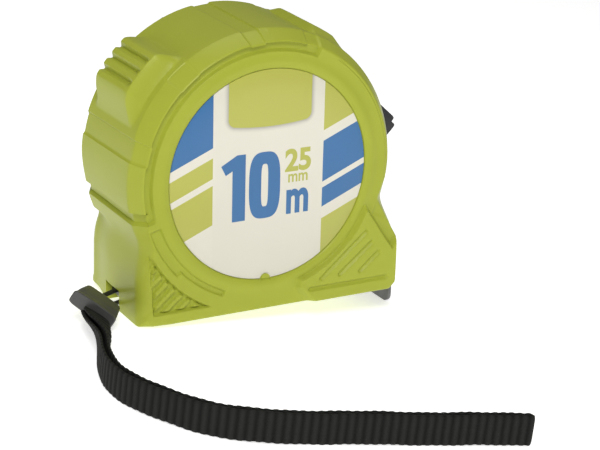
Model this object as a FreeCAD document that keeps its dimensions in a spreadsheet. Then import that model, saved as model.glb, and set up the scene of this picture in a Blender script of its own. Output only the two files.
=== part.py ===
import FreeCAD, Part
import math
import os
import Sketcher

# Pocket tape measure with a wrist strap, millimetres.
# +X points out of the mouth, +Z up, the printed label faces -Y.
# The origin is on the case's base plane, under the spool's axis, half way through the blade's width.

Vector = FreeCAD.Vector
doc = FreeCAD.newDocument("tape_measure")

# ---------------------------------------------------------------- driving dimensions

SIZES = {
    # case
    "ring_radius": 43.7, "case_thick": 43.4, "chamfer_deep": 5.2, "chamfer_in": 3.0,
    "ring_wall": 4.9, "face_wall": 2.4, "floor_wall": 2.3, "split_gap": 0.05,
    "rear_inset": 2.0, "rear_foot_top": 17.3, "rear_waist": 22.8, "rear_corner": 5.0,
    "front_proud": 1.8, "front_foot_top": 17.6, "front_waist": 28.2, "toe_cut": 2.8,
    "panel_proud": 1.8, "panel_groove": 0.8, "panel_groove_wide": 1.3,
    "rib_recess": 1.2, "rib_wide": 1.5,
    # label side relief
    "label_radius": 32.5, "label_recess": 0.6, "label_thick": 0.3, "label_gap": 0.15,
    "channel_in": 38.0, "channel_out": 40.3, "channel_deep": 1.3, "band_step": 0.5,
    "end_groove": 1.2, "sweep_in": 37.2, "sweep_mid": 38.8, "sweep_out": 40.4, "sweep_deep": 0.7,
    # thumb pad
    "pad_rise": 5.0, "pad_half_wide": 11.0, "pad_groove": 1.3, "grip_rise": 2.5,
    # spool and blade
    "coil_floor": 5.2, "flange_lip": 0.7, "spool_gap": 0.8, "flange_thick": 1.5,
    "hub_wall": 1.5, "axial_gap": 0.3, "post_radius": 4.0, "running_gap": 0.05,
    "boss_radius": 7.0, "boss_gap": 0.5, "post_bite": 1.1,
    "blade_width": 25.0, "blade_thick": 0.155, "blade_length": 10000.0, "blade_sag": 1.8,
    "blade_gap": 0.1, "spring_thick": 0.8, "spring_turns": 7.0, "spring_clear": 0.6,
    # hook
    "hook_thick": 1.0, "hook_drop": 9.6, "hook_corner": 3.0, "hook_standoff": 3.4,
    "tab_thick": 0.8, "tab_half_wide": 8.0, "tab_length": 12.1, "tab_gap": 0.15,
    "rivet_radius": 1.1, "rivet_head": 1.9, "rivet_spread": 4.0, "hook_float": 1.0,
    "mouth_side_gap": 0.8, "mouth_top": 9.0, "bumper_gap": 0.3,
    # lock
    "lock_half_wide": 8.2, "lock_travel": 5.0, "lock_plate": 1.5, "lock_gap": 0.4,
    "shield_side": 1.1, "shield_top": 55.8, "shield_low": 20.0, "neck_low": 44.5, "neck_top": 54.5,
    "arm_half_wide": 6.0, "brake_height": 2.3,
    # fasteners, clip and strap
    "screw_radius": 1.1, "screw_head": 2.2, "screw_length": 9.0, "screw_head_deep": 3.2,
    "clip_thick": 1.0, "clip_half_wide": 7.5, "clip_standoff": 6.0, "clip_screw_radius": 1.6,
    "slot_half_wide": 5.35, "slot_high": 6.6, "slot_deep": 8.2,
    "pin_radius": 1.25, "pin_half_length": 8.0, "pin_inset": 3.4, "pin_height": 3.2,
    "loop_radius": 0.65, "strap_width": 8.7, "strap_layer": 1.3, "strap_gap": 0.6,
    "clamp_width": 15.0, "clamp_length": 10.0, "clamp_thick": 5.0,
}

sheet = doc.addObject("Spreadsheet::Sheet", "Sheet")
for row, (alias, size) in enumerate(SIZES.items(), start=1):
    sheet.set(f"A{row}", alias)
    sheet.set(f"B{row}", str(size))
    sheet.setAlias(f"B{row}", alias)

# Lengths that several pieces share, each worked out from the sheet.
LAYOUT = {
    "face": "Sheet.case_thick / 2",
    "split": "Sheet.case_thick / 2 - Sheet.chamfer_deep",
    "floor_of_label": "Sheet.case_thick / 2 - Sheet.label_recess",
    "coil": "Sheet.ring_radius - Sheet.ring_wall - Sheet.spool_gap - Sheet.flange_lip",
    "flange": "Sheet.ring_radius - Sheet.ring_wall - Sheet.spool_gap",
    "cavity": "Sheet.ring_radius - Sheet.ring_wall",
    "axle": "Sheet.ring_radius - Sheet.ring_wall - Sheet.spool_gap - Sheet.flange_lip"
            " + Sheet.coil_floor",
    "hub": "sqrt((Sheet.ring_radius - Sheet.ring_wall - Sheet.spool_gap - Sheet.flange_lip)^2"
           " - Sheet.blade_length * Sheet.blade_thick / pi)",
    "blade_low": "Sheet.coil_floor - Sheet.blade_sag - Sheet.blade_thick - Sheet.blade_gap",
    "blade_curve": "((Sheet.blade_width / 2)^2 + Sheet.blade_sag^2) / (2 * Sheet.blade_sag)",
    "flange_in": "Sheet.blade_width / 2 + Sheet.axial_gap",
    "flange_out": "Sheet.blade_width / 2 + Sheet.axial_gap + Sheet.flange_thick",
    "boss_end": "Sheet.blade_width / 2 + Sheet.axial_gap + Sheet.flange_thick + Sheet.boss_gap",
    "inner_wall": "Sheet.case_thick / 2 - Sheet.face_wall",
    "rear": "Sheet.ring_radius - Sheet.rear_inset",
    "front": "Sheet.ring_radius + Sheet.front_proud",
    "hook_back": "Sheet.ring_radius + Sheet.front_proud + Sheet.hook_standoff",
    "mouth_half": "Sheet.blade_width / 2 + Sheet.mouth_side_gap",
}
layout = doc.addObject("App::FeaturePython", "Layout")
for name, formula in LAYOUT.items():
    layout.addProperty("App::PropertyFloat", name)
    layout.setExpression(name, formula)
doc.recompute()


def size(alias):
    """A driving dimension, as a number."""
    return float(sheet.get(alias))


# ---------------------------------------------------------------- helpers

def new_body(label):
    body = doc.addObject("PartDesign::Body", label)
    body.Label = label
    return body


def blank_sketch(body, name, role, offset, turn=0.0):
    """A sketch on one of the body's own origin planes, moved along that plane's normal."""
    sketch = body.newObject("Sketcher::SketchObject", name)
    origin_plane = next(o for o in body.Origin.OriginFeatures if o.Role == role)
    sketch.AttachmentSupport = [(origin_plane, "")]
    sketch.MapMode = "FlatFace"
    sketch.AttachmentOffset = FreeCAD.Placement(Vector(), FreeCAD.Rotation(Vector(0, 1, 0), turn))
    sketch.setExpression("AttachmentOffset.Base.z", offset)
    return sketch


def polygon(sketch, points):
    """A closed outline whose corners are driven by pairs of expressions."""
    count = len(points)
    corners = [Vector(10 * math.cos(2 * math.pi * i / count), 10 * math.sin(2 * math.pi * i / count), 0)
               for i in range(count)]
    for i in range(count):
        sketch.addGeometry(Part.LineSegment(corners[i], corners[(i + 1) % count]))
    for i in range(count):
        sketch.addConstraint(Sketcher.Constraint("Coincident", i, 2, (i + 1) % count, 1))
    for i, (across, along) in enumerate(points):
        for kind, formula, start in (("DistanceX", across, corners[i].x), ("DistanceY", along, corners[i].y)):
            index = sketch.addConstraint(Sketcher.Constraint(kind, -1, 1, i, 1, start))
            sketch.setExpression(f"Constraints[{index}]", formula)
    return sketch


def circle(sketch, across, along, radius):
    """A circle whose centre and radius are driven by expressions."""
    sketch.addGeometry(Part.Circle(Vector(1, 1, 0), Vector(0, 0, 1), 1))
    for kind, formula in (("DistanceX", across), ("DistanceY", along)):
        index = sketch.addConstraint(Sketcher.Constraint(kind, -1, 1, 0, 3, 1.0))
        sketch.setExpression(f"Constraints[{index}]", formula)
    index = sketch.addConstraint(Sketcher.Constraint("Radius", 0, 1.0))
    sketch.setExpression(f"Constraints[{index}]", radius)
    return sketch


def across_y(body, name, kind, draw, low, high):
    """A Pad or a Pocket of a side-view outline, from y = low to y = high."""
    start = high if kind == "Pad" else low
    sketch = draw(blank_sketch(body, name + "_sketch", "XZ_Plane", f"-({start})"))
    feature = body.newObject("PartDesign::" + kind, name)
    feature.Profile = sketch
    feature.setExpression("Length", f"({high}) - ({low})")
    doc.recompute()
    return feature


def turned(body, name, kind, section, high_angle=360.0, low_angle=0.0):
    """A Revolution or Groove of a (radius, y) section about the spool's axis, between two angles."""
    sketch = blank_sketch(body, name + "_sketch", "XY_Plane", "Layout.axle", -high_angle)
    polygon(sketch, section)
    feature = body.newObject("PartDesign::" + kind, name)
    feature.Profile = sketch
    feature.ReferenceAxis = (sketch, ["V_Axis"])
    feature.Angle = high_angle - low_angle
    doc.recompute()
    return feature


def outline(points):
    return lambda sketch: polygon(sketch, points)


def disc(across, along, radius):
    return lambda sketch: circle(sketch, across, along, radius)


def polar(radius, angle):
    """The side-view place of a point at an angle round the spool's axis."""
    turn = math.radians(angle)
    return (f"({radius}) * {math.cos(turn):.5f}", f"Layout.axle + ({radius}) * {math.sin(turn):.5f}")


def bar(start, end, half):
    """The outline of a straight groove or rib between two (x, z) points."""
    (x0, z0), (x1, z1) = start, end
    length = math.hypot(x1 - x0, z1 - z0)
    side_x, side_z = -(z1 - z0) / length, (x1 - x0) / length
    corners = []
    for x, z, sign in ((x0, z0, 1), (x1, z1, 1), (x1, z1, -1), (x0, z0, -1)):
        corners.append((f"{x} + {sign * side_x:.5f} * ({half})", f"{z} + {sign * side_z:.5f} * ({half})"))
    return outline(corners)


def tube_rod(name, x, y, z, radius, length, axis):
    """A cylinder from a point, along X, Y or Z."""
    rod = doc.addObject("Part::Cylinder", name)
    turns = {"X": (Vector(0, 1, 0), 90), "Y": (Vector(1, 0, 0), -90), "Z": (Vector(0, 0, 1), 0)}
    rod.Placement = FreeCAD.Placement(Vector(), FreeCAD.Rotation(*turns[axis]))
    for prop, formula in (("Radius", radius), ("Height", length), ("Placement.Base.x", x),
                          ("Placement.Base.y", y), ("Placement.Base.z", z)):
        rod.setExpression(prop, formula)
    return rod


def block(name, low, high):
    """A box between two corners given as expressions."""
    solid = doc.addObject("Part::Box", name)
    for prop, base, a, b in zip(("Length", "Width", "Height"), "xyz", low, high):
        solid.setExpression(prop, f"({b}) - ({a})")
        solid.setExpression("Placement.Base." + base, a)
    return solid


def joined(name, *solids):
    fuse = doc.addObject("Part::MultiFuse", name)
    fuse.Shapes = list(solids)
    return fuse


def cut(name, base, tool):
    feature = doc.addObject("Part::Cut", name)
    feature.Base, feature.Tool = base, tool
    return feature


def common(name, base, tool):
    feature = doc.addObject("Part::MultiCommon", name)
    feature.Shapes = [base, tool]
    return feature


def edges_where(shape, test):
    return [f"Edge{i}" for i, edge in enumerate(shape.Edges, start=1) if test(edge)]


# ---------------------------------------------------------------- case

# Side-view outlines of the two feet; both run in under the ring.
REAR_FOOT = [("0", "0"), ("-Layout.rear", "0"), ("-Layout.rear", "Sheet.rear_foot_top"),
             ("-Layout.rear + 1.5", "Sheet.rear_waist"), ("0", "Layout.axle")]
FRONT_FOOT = [("0", "0"), ("Layout.front - Sheet.toe_cut", "0"), ("Layout.front", "Sheet.toe_cut"),
              ("Layout.front", "Sheet.front_foot_top"), ("Sheet.ring_radius - 2.2", "Sheet.front_waist"),
              ("0", "Layout.axle")]
BELOW_BASE = [("-2 * Sheet.ring_radius", "-20"), ("2 * Sheet.ring_radius", "-20"),
              ("2 * Sheet.ring_radius", "0"), ("-2 * Sheet.ring_radius", "0")]

# Case screws, as side-view places: two in the ring's wall and one in each foot.
RING_SCREW = "Layout.cavity + Sheet.ring_wall / 2"
SCREWS = [polar(RING_SCREW, 50), polar(RING_SCREW, 112),
          ("-Layout.rear + 5.2", "Sheet.rear_foot_top - 4.6"),
          ("Layout.front - 7", "Sheet.front_foot_top + 0.9")]


def round_rear_corner(body, name, y):
    """Rounds the upright corner of the rear foot at one side of the case."""
    doc.recompute()
    rear = -layout.rear
    found = edges_where(body.Shape, lambda e: (
        abs(e.BoundBox.XMin - rear) < 1e-3 and abs(e.BoundBox.XMax - rear) < 1e-3
        and abs(e.BoundBox.YMin - y) < 1e-3 and abs(e.BoundBox.YMax - y) < 1e-3))
    base = body.Tip
    fillet = body.newObject("PartDesign::Fillet", name)
    fillet.Base = (base, found)
    fillet.setExpression("Radius", "min(Sheet.rear_corner; Sheet.chamfer_deep - Sheet.split_gap - 0.1)")
    doc.recompute()


shell = new_body("case_shell")
turned(shell, "shell_ring", "Revolution", [
    ("0", "-Layout.floor_of_label"),
    ("Sheet.label_radius + Sheet.label_gap", "-Layout.floor_of_label"),
    ("Sheet.label_radius + Sheet.label_gap", "-Layout.face"),
    ("Sheet.ring_radius - Sheet.chamfer_in", "-Layout.face"),
    ("Sheet.ring_radius", "-Layout.split"),
    ("Sheet.ring_radius", "Layout.split"),
    ("0", "Layout.split")])
across_y(shell, "shell_rear_foot", "Pad", outline(REAR_FOOT), "-Layout.face", "Layout.split")
across_y(shell, "shell_front_foot", "Pad", outline(FRONT_FOOT), "-Layout.face", "Layout.split")
# The feet cover the label's recess, so it is opened again.
across_y(shell, "shell_label_recess", "Pocket",
         disc("0", "Layout.axle", "Sheet.label_radius + Sheet.label_gap"),
         "-Layout.face - 1", "-Layout.floor_of_label")
across_y(shell, "shell_base", "Pocket", outline(BELOW_BASE), "-2 * Layout.face", "2 * Layout.face")
round_rear_corner(shell, "shell_rear_corner", -layout.face)

# Raised panel on the front foot, with three slanting grooves and a level one.
panel_arc = [polar("Sheet.label_radius + 3.2", angle) for angle in (290, 300, 310, 320, 330, 338)]
across_y(shell, "panel", "Pad", outline(
    [("Layout.front - 31", "0"), ("Layout.front - 36", "5.1"), ("Layout.front - 35.4", "8.8")]
    + panel_arc
    + [("Layout.front - 2.6", "14.6"), ("Layout.front - 0.7", "Sheet.front_foot_top - 0.4"),
       ("Layout.front - 0.4", "3.1"), ("Layout.front - 3.5", "0")]),
    "-Layout.face - Sheet.panel_proud", "-Layout.face")
PANEL_GROOVES = [((33.0, 20.5), (17.9, 7.6)), ((35.3, 16.9), (24.3, 8.0)), ((37.7, 13.3), (31.5, 8.0)),
                 ((14.1, 4.2), (41.0, 4.2))]
for number, (start, end) in enumerate(PANEL_GROOVES):
    across_y(shell, f"panel_groove_{number}", "Pocket", bar(start, end, "Sheet.panel_groove_wide / 2"),
             "-Layout.face - Sheet.panel_proud - 1", "-Layout.face - Sheet.panel_proud + Sheet.panel_groove")

# Sunk triangle on the rear foot; slanting ribs stand in it.
rib_arc = [polar("Sheet.ring_radius - 0.6", angle) for angle in (241, 233, 225, 217)]
across_y(shell, "rib_recess", "Pocket", outline(
    [("-Layout.rear + 3.4", "18.6"), ("-Layout.rear + 2.5", "3.6")] + rib_arc),
    "-Layout.face - 1", "-Layout.face + Sheet.rib_recess")
RIBS = [((-38.6, 12.6), (-36.0, 15.6)), ((-38.6, 8.4), (-33.8, 13.0)), ((-37.4, 5.0), (-31.2, 10.4)),
        ((-32.6, 4.6), (-28.4, 7.9))]
for number, (start, end) in enumerate(RIBS):
    across_y(shell, f"rib_{number}", "Pad", bar(start, end, "Sheet.rib_wide / 2"),
             "-Layout.face + 0.4", "-Layout.face + Sheet.rib_recess + 0.2")

# Relief round the label: a channel, plate steps across the rim, and a sweep at the lower left.
turned(shell, "channel", "Groove", [
    ("Sheet.channel_in", "-Layout.face - 1"), ("Sheet.channel_out", "-Layout.face - 1"),
    ("Sheet.channel_out", "-Layout.face + Sheet.channel_deep"),
    ("Sheet.channel_in + 0.6", "-Layout.face + Sheet.channel_deep")], 190, 69)
for name, low, high in (("plate_end_top", 66.5, 70.0), ("plate_end_rear", 190.0, 194.5)):
    turned(shell, name, "Groove", [
        ("Sheet.ring_radius - Sheet.end_groove", "-Layout.split"),
        ("Sheet.ring_radius + 4", "-Layout.split"), ("Sheet.ring_radius + 4", "Layout.split + 1"),
        ("Sheet.ring_radius - Sheet.end_groove", "Layout.split + 1")], high, low)
for name, low, high in (("plate_step_top", 93.0, 100.0), ("plate_step_rear", 161.0, 169.5)):
    turned(shell, name, "Groove", [
        ("Sheet.ring_radius - Sheet.band_step", "-Layout.split"),
        ("Sheet.ring_radius + 4", "-Layout.split"), ("Sheet.ring_radius + 4", "Layout.split + 1"),
        ("Sheet.ring_radius - Sheet.band_step", "Layout.split + 1")], high, low)
for name, outer, low, high in (("sweep_upper", "Sheet.sweep_out", 198.0, 222.0),
                               ("sweep_lower", "Sheet.sweep_mid", 222.0, 247.0)):
    turned(shell, name, "Groove", [
        ("Sheet.sweep_in", "-Layout.face - 1"), (outer, "-Layout.face - 1"),
        (outer, "-Layout.face + Sheet.sweep_deep"),
        ("Sheet.sweep_in", "-Layout.face + Sheet.sweep_deep")], high, low)

# Thumb pad: a flat-topped block on the rear shoulder with three grooves along Y.
pad_top = "Sheet.ring_radius + Sheet.pad_rise"
across_y(shell, "thumb_pad", "Pad", outline([
    polar("Sheet.ring_radius - 2", 123), polar(pad_top, 131), polar(pad_top + " + 0.2", 146.5),
    polar("Sheet.ring_radius - 2", 159)]), "-Sheet.pad_half_wide", "Sheet.pad_half_wide")
for number, angle in enumerate((134.0, 138.7, 143.4)):
    across_y(shell, f"thumb_groove_{number}", "Pocket", outline([
        polar(pad_top + " + 3", angle - 1.3), polar(pad_top + " - Sheet.pad_groove", angle - 0.7),
        polar(pad_top + " - Sheet.pad_groove", angle + 0.7), polar(pad_top + " + 3", angle + 1.3)]),
        "-Sheet.pad_half_wide - 1", "Sheet.pad_half_wide + 1")
# A lower grip on the front shoulder, standing up from the plate's end.
grip_top = "Sheet.ring_radius + Sheet.grip_rise"
across_y(shell, "front_grip", "Pad", outline([
    polar("Sheet.ring_radius - 2", 66.5), polar(grip_top, 66.3), polar(grip_top, 55),
    polar("Sheet.ring_radius - 2", 47)]), "-Sheet.pad_half_wide", "Sheet.pad_half_wide")

# Room inside for the spool, the blade, the lock and the strap's pin.
across_y(shell, "spool_room", "Pocket", disc("0", "Layout.axle", "Layout.cavity"),
         "-Layout.inner_wall", "Layout.split + 1")
across_y(shell, "blade_room", "Pocket", outline([
    ("0", "Sheet.floor_wall"), ("Layout.front - 2.5", "Sheet.floor_wall"),
    ("Layout.front - 2.5", "Sheet.front_foot_top - 2.6"), ("Layout.front - 8", "Sheet.front_waist - 4.2"),
    ("0", "Sheet.front_waist - 4.2")]), "-Layout.inner_wall", "Layout.split + 1")
across_y(shell, "mouth", "Pocket", outline([
    ("Layout.front - 3.5", "-1"), ("Layout.front + 5", "-1"), ("Layout.front + 5", "Sheet.mouth_top"),
    ("Layout.front - 5", "Sheet.mouth_top"), ("Layout.front - 5", "Sheet.floor_wall"),
    ("Layout.front - 3.5", "Sheet.floor_wall")]), "-Layout.mouth_half", "Layout.mouth_half")
LOCK_BACK = "Layout.flange + Sheet.lock_gap + 0.1"
across_y(shell, "lock_room", "Pocket", outline([
    (LOCK_BACK + " - 0.5", "10"), (LOCK_BACK + " + Sheet.lock_plate + 0.3", "10"),
    (LOCK_BACK + " + Sheet.lock_plate + 0.3", "Sheet.shield_top + Sheet.lock_gap"),
    (LOCK_BACK + " - 0.5", "Sheet.shield_top + Sheet.lock_gap")]),
    "-Sheet.lock_half_wide - Sheet.shield_side - Sheet.lock_gap",
    "Sheet.lock_half_wide + Sheet.shield_side + Sheet.lock_gap")
across_y(shell, "lock_slot", "Pocket", outline([
    (LOCK_BACK, "Sheet.neck_low - Sheet.lock_travel - Sheet.lock_gap"),
    ("Sheet.ring_radius + 5", "Sheet.neck_low - Sheet.lock_travel - Sheet.lock_gap"),
    ("Sheet.ring_radius + 5", "Sheet.neck_top + Sheet.lock_gap"),
    (LOCK_BACK, "Sheet.neck_top + Sheet.lock_gap")]),
    "-Sheet.lock_half_wide + 0.2", "Sheet.lock_half_wide - 0.2")
across_y(shell, "strap_slot", "Pocket", outline([
    ("-Layout.rear - 5", "-1"), ("-Layout.rear + Sheet.slot_deep", "-1"),
    ("-Layout.rear + Sheet.slot_deep", "Sheet.slot_high"), ("-Layout.rear - 5", "Sheet.slot_high")]),
    "-Sheet.slot_half_wide", "Sheet.slot_half_wide")
across_y(shell, "pin_hole", "Pocket",
         disc("-Layout.rear + Sheet.pin_inset", "Sheet.pin_height", "Sheet.pin_radius + 0.02"),
         "-Sheet.pin_half_length - 0.1", "Sheet.pin_half_length + 0.1")
across_y(shell, "front_screw_boss", "Pad", disc(*SCREWS[3], "Sheet.screw_radius + 1.9"),
         "Layout.split - Sheet.screw_length + 2.4", "Layout.split")
for number, place in enumerate(SCREWS):
    across_y(shell, f"pilot_{number}", "Pocket", disc(*place, "Sheet.screw_radius"),
             "Layout.split - Sheet.screw_length", "Layout.split + 1")
across_y(shell, "post_boss", "Pad", disc("0", "Layout.axle", "Sheet.boss_radius"),
         "-Layout.inner_wall - 0.2", "-Layout.boss_end")
across_y(shell, "post_socket", "Pocket", disc("0", "Layout.axle", "Sheet.post_radius + 0.02"),
         "-Layout.boss_end - Sheet.post_bite - 1", "-Layout.boss_end + 1")

cover = new_body("case_cover")
turned(cover, "cover_ring", "Revolution", [
    ("0", "Layout.split + Sheet.split_gap"), ("Sheet.ring_radius", "Layout.split + Sheet.split_gap"),
    ("Sheet.ring_radius - Sheet.chamfer_in", "Layout.face"),
    ("Sheet.label_radius + Sheet.label_gap", "Layout.face"),
    ("Sheet.label_radius + Sheet.label_gap", "Layout.floor_of_label"), ("0", "Layout.floor_of_label")])
for name, foot in (("cover_rear_foot", REAR_FOOT), ("cover_front_foot", FRONT_FOOT)):
    across_y(cover, name, "Pad", outline(foot), "Layout.split + Sheet.split_gap", "Layout.face")
across_y(cover, "cover_recess", "Pocket",
         disc("0", "Layout.axle", "Sheet.label_radius + Sheet.label_gap"),
         "Layout.floor_of_label", "Layout.face + 1")
across_y(cover, "cover_base", "Pocket", outline(BELOW_BASE), "0", "2 * Layout.face")
round_rear_corner(cover, "cover_rear_corner", layout.face)
across_y(cover, "cover_boss", "Pad", disc("0", "Layout.axle", "Sheet.boss_radius"),
         "Layout.boss_end", "Layout.split + Sheet.split_gap + 0.2")
across_y(cover, "cover_socket", "Pocket", disc("0", "Layout.axle", "Sheet.post_radius + 0.02"),
         "Layout.boss_end - 1", "Layout.boss_end + Sheet.post_bite + 1")
for number, place in enumerate(SCREWS):
    across_y(cover, f"screw_way_{number}", "Pocket", disc(*place, "Sheet.screw_radius + 0.1"),
             "Layout.split - 1", "Layout.face + 1")
    across_y(cover, f"screw_sink_{number}", "Pocket", disc(*place, "Sheet.screw_head + 0.15"),
             "Layout.face - Sheet.screw_head_deep", "Layout.face + 1")
CLIP_SCREW = ("0", "Layout.axle + 23.5")
across_y(cover, "clip_pilot", "Pocket", disc(*CLIP_SCREW, "Sheet.clip_screw_radius"),
         "Layout.split + 1.2", "Layout.face + 1")

# Screws: a plain shank and a flat head with a cross cut in it, sunk in the cover.
screws = []
for number, (x, z) in enumerate(SCREWS):
    seat = "Layout.face - Sheet.screw_head_deep"
    shank = tube_rod(f"shank_{number}", x, f"{seat} - Sheet.screw_length + 1", z,
                     "Sheet.screw_radius - 0.02", "Sheet.screw_length", "Y")
    head = tube_rod(f"head_{number}", x, seat, z, "Sheet.screw_head", "1.5", "Y")
    drive = block(f"drive_{number}", (f"{x} - 1.3", f"{seat} + 0.8", f"{z} - 0.3"),
                  (f"{x} + 1.3", f"{seat} + 2", f"{z} + 0.3"))
    cross = block(f"cross_{number}", (f"{x} - 0.3", f"{seat} + 0.8", f"{z} - 1.3"),
                  (f"{x} + 0.3", f"{seat} + 2", f"{z} + 1.3"))
    screws.append(cut(f"screw_{number}", joined(f"screw_blank_{number}", shank, head),
                      joined(f"screw_drive_{number}", drive, cross)))
case_screws = doc.addObject("Part::Compound", "case_screws")
case_screws.Links = screws

label = new_body("front_label")
across_y(label, "label_disc", "Pad", disc("0", "Layout.axle", "Sheet.label_radius"),
         "-Layout.floor_of_label - Sheet.label_thick", "-Layout.floor_of_label")

# ---------------------------------------------------------------- belt clip

# Side profile of the sprung strip, seen along X: foot, shoulder, long leg and flared tip.
CLIP_BACK = "Layout.floor_of_label"
CLIP_OUT = "Layout.floor_of_label + Sheet.clip_standoff"
clip = new_body("belt_clip")
clip_sketch = blank_sketch(clip, "clip_sketch", "YZ_Plane", "-Sheet.clip_half_wide")
polygon(clip_sketch, [
    (CLIP_BACK, "Layout.axle + 30"), (CLIP_BACK + " + Sheet.clip_thick", "Layout.axle + 30"),
    (CLIP_BACK + " + Sheet.clip_thick", "Layout.axle + 17.6"),
    (CLIP_OUT + " + Sheet.clip_thick", "Layout.axle + 12.6"),
    (CLIP_OUT + " + Sheet.clip_thick", "Layout.axle + 10"),
    (CLIP_OUT + " + Sheet.clip_thick - 2.4", "Layout.axle - 18.6"),
    (CLIP_OUT + " + Sheet.clip_thick - 0.4", "Layout.axle - 23"),
    (CLIP_OUT + " - 0.4", "Layout.axle - 23.5"), (CLIP_OUT + " - 2.4", "Layout.axle - 19"),
    (CLIP_OUT, "Layout.axle + 10"), (CLIP_OUT, "Layout.axle + 12"),
    (CLIP_BACK, "Layout.axle + 17")])
clip_pad = clip.newObject("PartDesign::Pad", "clip_pad")
clip_pad.Profile = clip_sketch
clip_pad.setExpression("Length", "2 * Sheet.clip_half_wide")
doc.recompute()
across_y(clip, "clip_hole", "Pocket", disc(*CLIP_SCREW, "Sheet.clip_screw_radius + 0.1"),
         CLIP_BACK + " - 1", CLIP_BACK + " + 3")

clip_shank = tube_rod("clip_shank", CLIP_SCREW[0], "Layout.split + 1.4", CLIP_SCREW[1],
                      "Sheet.clip_screw_radius - 0.02",
                      "Layout.floor_of_label - Layout.split + Sheet.clip_thick - 1", "Y")
clip_head = tube_rod("clip_head", CLIP_SCREW[0], CLIP_BACK + " + Sheet.clip_thick", CLIP_SCREW[1],
                     "2.8", "1.4", "Y")
clip_drive = block("clip_drive", ("-1.7", CLIP_BACK + " + Sheet.clip_thick + 0.6", CLIP_SCREW[1] + " - 0.4"),
                   ("1.7", CLIP_BACK + " + Sheet.clip_thick + 2", CLIP_SCREW[1] + " + 0.4"))
belt_clip_screw = cut("belt_clip_screw", joined("clip_screw_blank", clip_shank, clip_head), clip_drive)

# ---------------------------------------------------------------- spool, spring and blade

post = new_body("centre_post")
across_y(post, "post_rod", "Pad", disc("0", "Layout.axle", "Sheet.post_radius"),
         "-Layout.boss_end - Sheet.post_bite - 0.9", "Layout.boss_end + Sheet.post_bite + 0.9")
across_y(post, "post_slit", "Pocket", outline([
    ("-Sheet.post_radius - 1", "Layout.axle - 0.5"), ("0", "Layout.axle - 0.5"),
    ("0", "Layout.axle + 0.5"), ("-Sheet.post_radius - 1", "Layout.axle + 0.5")]),
    "-Sheet.blade_width / 2", "Sheet.blade_width / 2")

drum = new_body("spool_drum")
turned(drum, "drum_turned", "Revolution", [
    ("Sheet.post_radius + Sheet.running_gap", "-Layout.flange_out"),
    ("Layout.flange", "-Layout.flange_out"), ("Layout.flange", "-Layout.flange_in"),
    ("Layout.hub", "-Layout.flange_in"), ("Layout.hub", "Layout.flange_in - 0.05"),
    ("Layout.hub - Sheet.hub_wall", "Layout.flange_in - 0.05"),
    ("Layout.hub - Sheet.hub_wall", "-Layout.flange_in"),
    ("Sheet.post_radius + 2.5", "-Layout.flange_in"),
    ("Sheet.post_radius + Sheet.running_gap", "-Layout.flange_in")])

flange = new_body("spool_flange")
turned(flange, "flange_turned", "Revolution", [
    ("Sheet.post_radius + Sheet.running_gap", "Layout.flange_out"),
    ("Layout.flange", "Layout.flange_out"), ("Layout.flange", "Layout.flange_in"),
    ("Layout.hub - Sheet.hub_wall - 0.03", "Layout.flange_in"),
    ("Layout.hub - Sheet.hub_wall - 0.03", "Layout.flange_in - 1.5"),
    ("Layout.hub - Sheet.hub_wall - 1.5", "Layout.flange_in - 1.5"),
    ("Layout.hub - Sheet.hub_wall - 1.5", "Layout.flange_in"),
    ("Sheet.post_radius + Sheet.running_gap", "Layout.flange_in")])

coil = new_body("tape_coil")
across_y(coil, "coil_wound", "Pad", disc("0", "Layout.axle", "Layout.coil"),
         "-Sheet.blade_width / 2", "Sheet.blade_width / 2")
across_y(coil, "coil_bore", "Pocket", disc("0", "Layout.axle", "Layout.hub + 0.02"),
         "-Sheet.blade_width / 2 - 1", "Sheet.blade_width / 2 + 1")


def spiral_edges(start_radius, pitch, turns, centre_z):
    """Half circles about two centres a half pitch apart, each a half pitch larger than the last."""
    edges = []
    radius = start_radius
    for half in range(int(2 * turns)):
        centre = -pitch / 4 if half % 2 == 0 else pitch / 4
        side = 1 if half % 2 == 0 else -1
        points = [Vector(centre + side * radius * math.cos(a), 0, centre_z + side * radius * math.sin(a))
                  for a in (0, math.pi / 2, math.pi)]
        edges.append(Part.Arc(*points).toShape())
        radius += pitch / 2
    return edges


def power_spring_shape():
    """A flat strip wound in a spiral from near the post out to the drum's wall."""
    thick, turns = size("spring_thick"), size("spring_turns")
    # Half circles about shifted centres reach a quarter pitch further in and out than their radii.
    inner_limit = size("post_radius") + size("spring_clear")
    outer_limit = layout.hub - size("hub_wall") - 1.5 - size("spring_clear") - thick
    pitch = (outer_limit - inner_limit) / (turns + 0.5)
    first = inner_limit + pitch / 4
    inner = spiral_edges(first, pitch, turns, layout.axle)
    outer = spiral_edges(first + thick, pitch, turns, layout.axle)
    start = Part.LineSegment(inner[0].Vertexes[0].Point, outer[0].Vertexes[0].Point).toShape()
    end = Part.LineSegment(inner[-1].Vertexes[-1].Point, outer[-1].Vertexes[-1].Point).toShape()
    wire = Part.Wire(Part.__sortEdges__(inner + outer + [start, end]))
    half = size("blade_width") / 2 - 1.5
    strip = Part.Face(wire).extrude(Vector(0, 2 * half, 0))
    strip.translate(Vector(0, -half, 0))
    return strip


power_spring = doc.addObject("Part::Feature", "power_spring")
power_spring.Shape = power_spring_shape()

# Cross-curved strips: the ring between two cylinders along X, trimmed to a width.
CURVE_Z = "Layout.blade_low + Layout.blade_curve"


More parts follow.
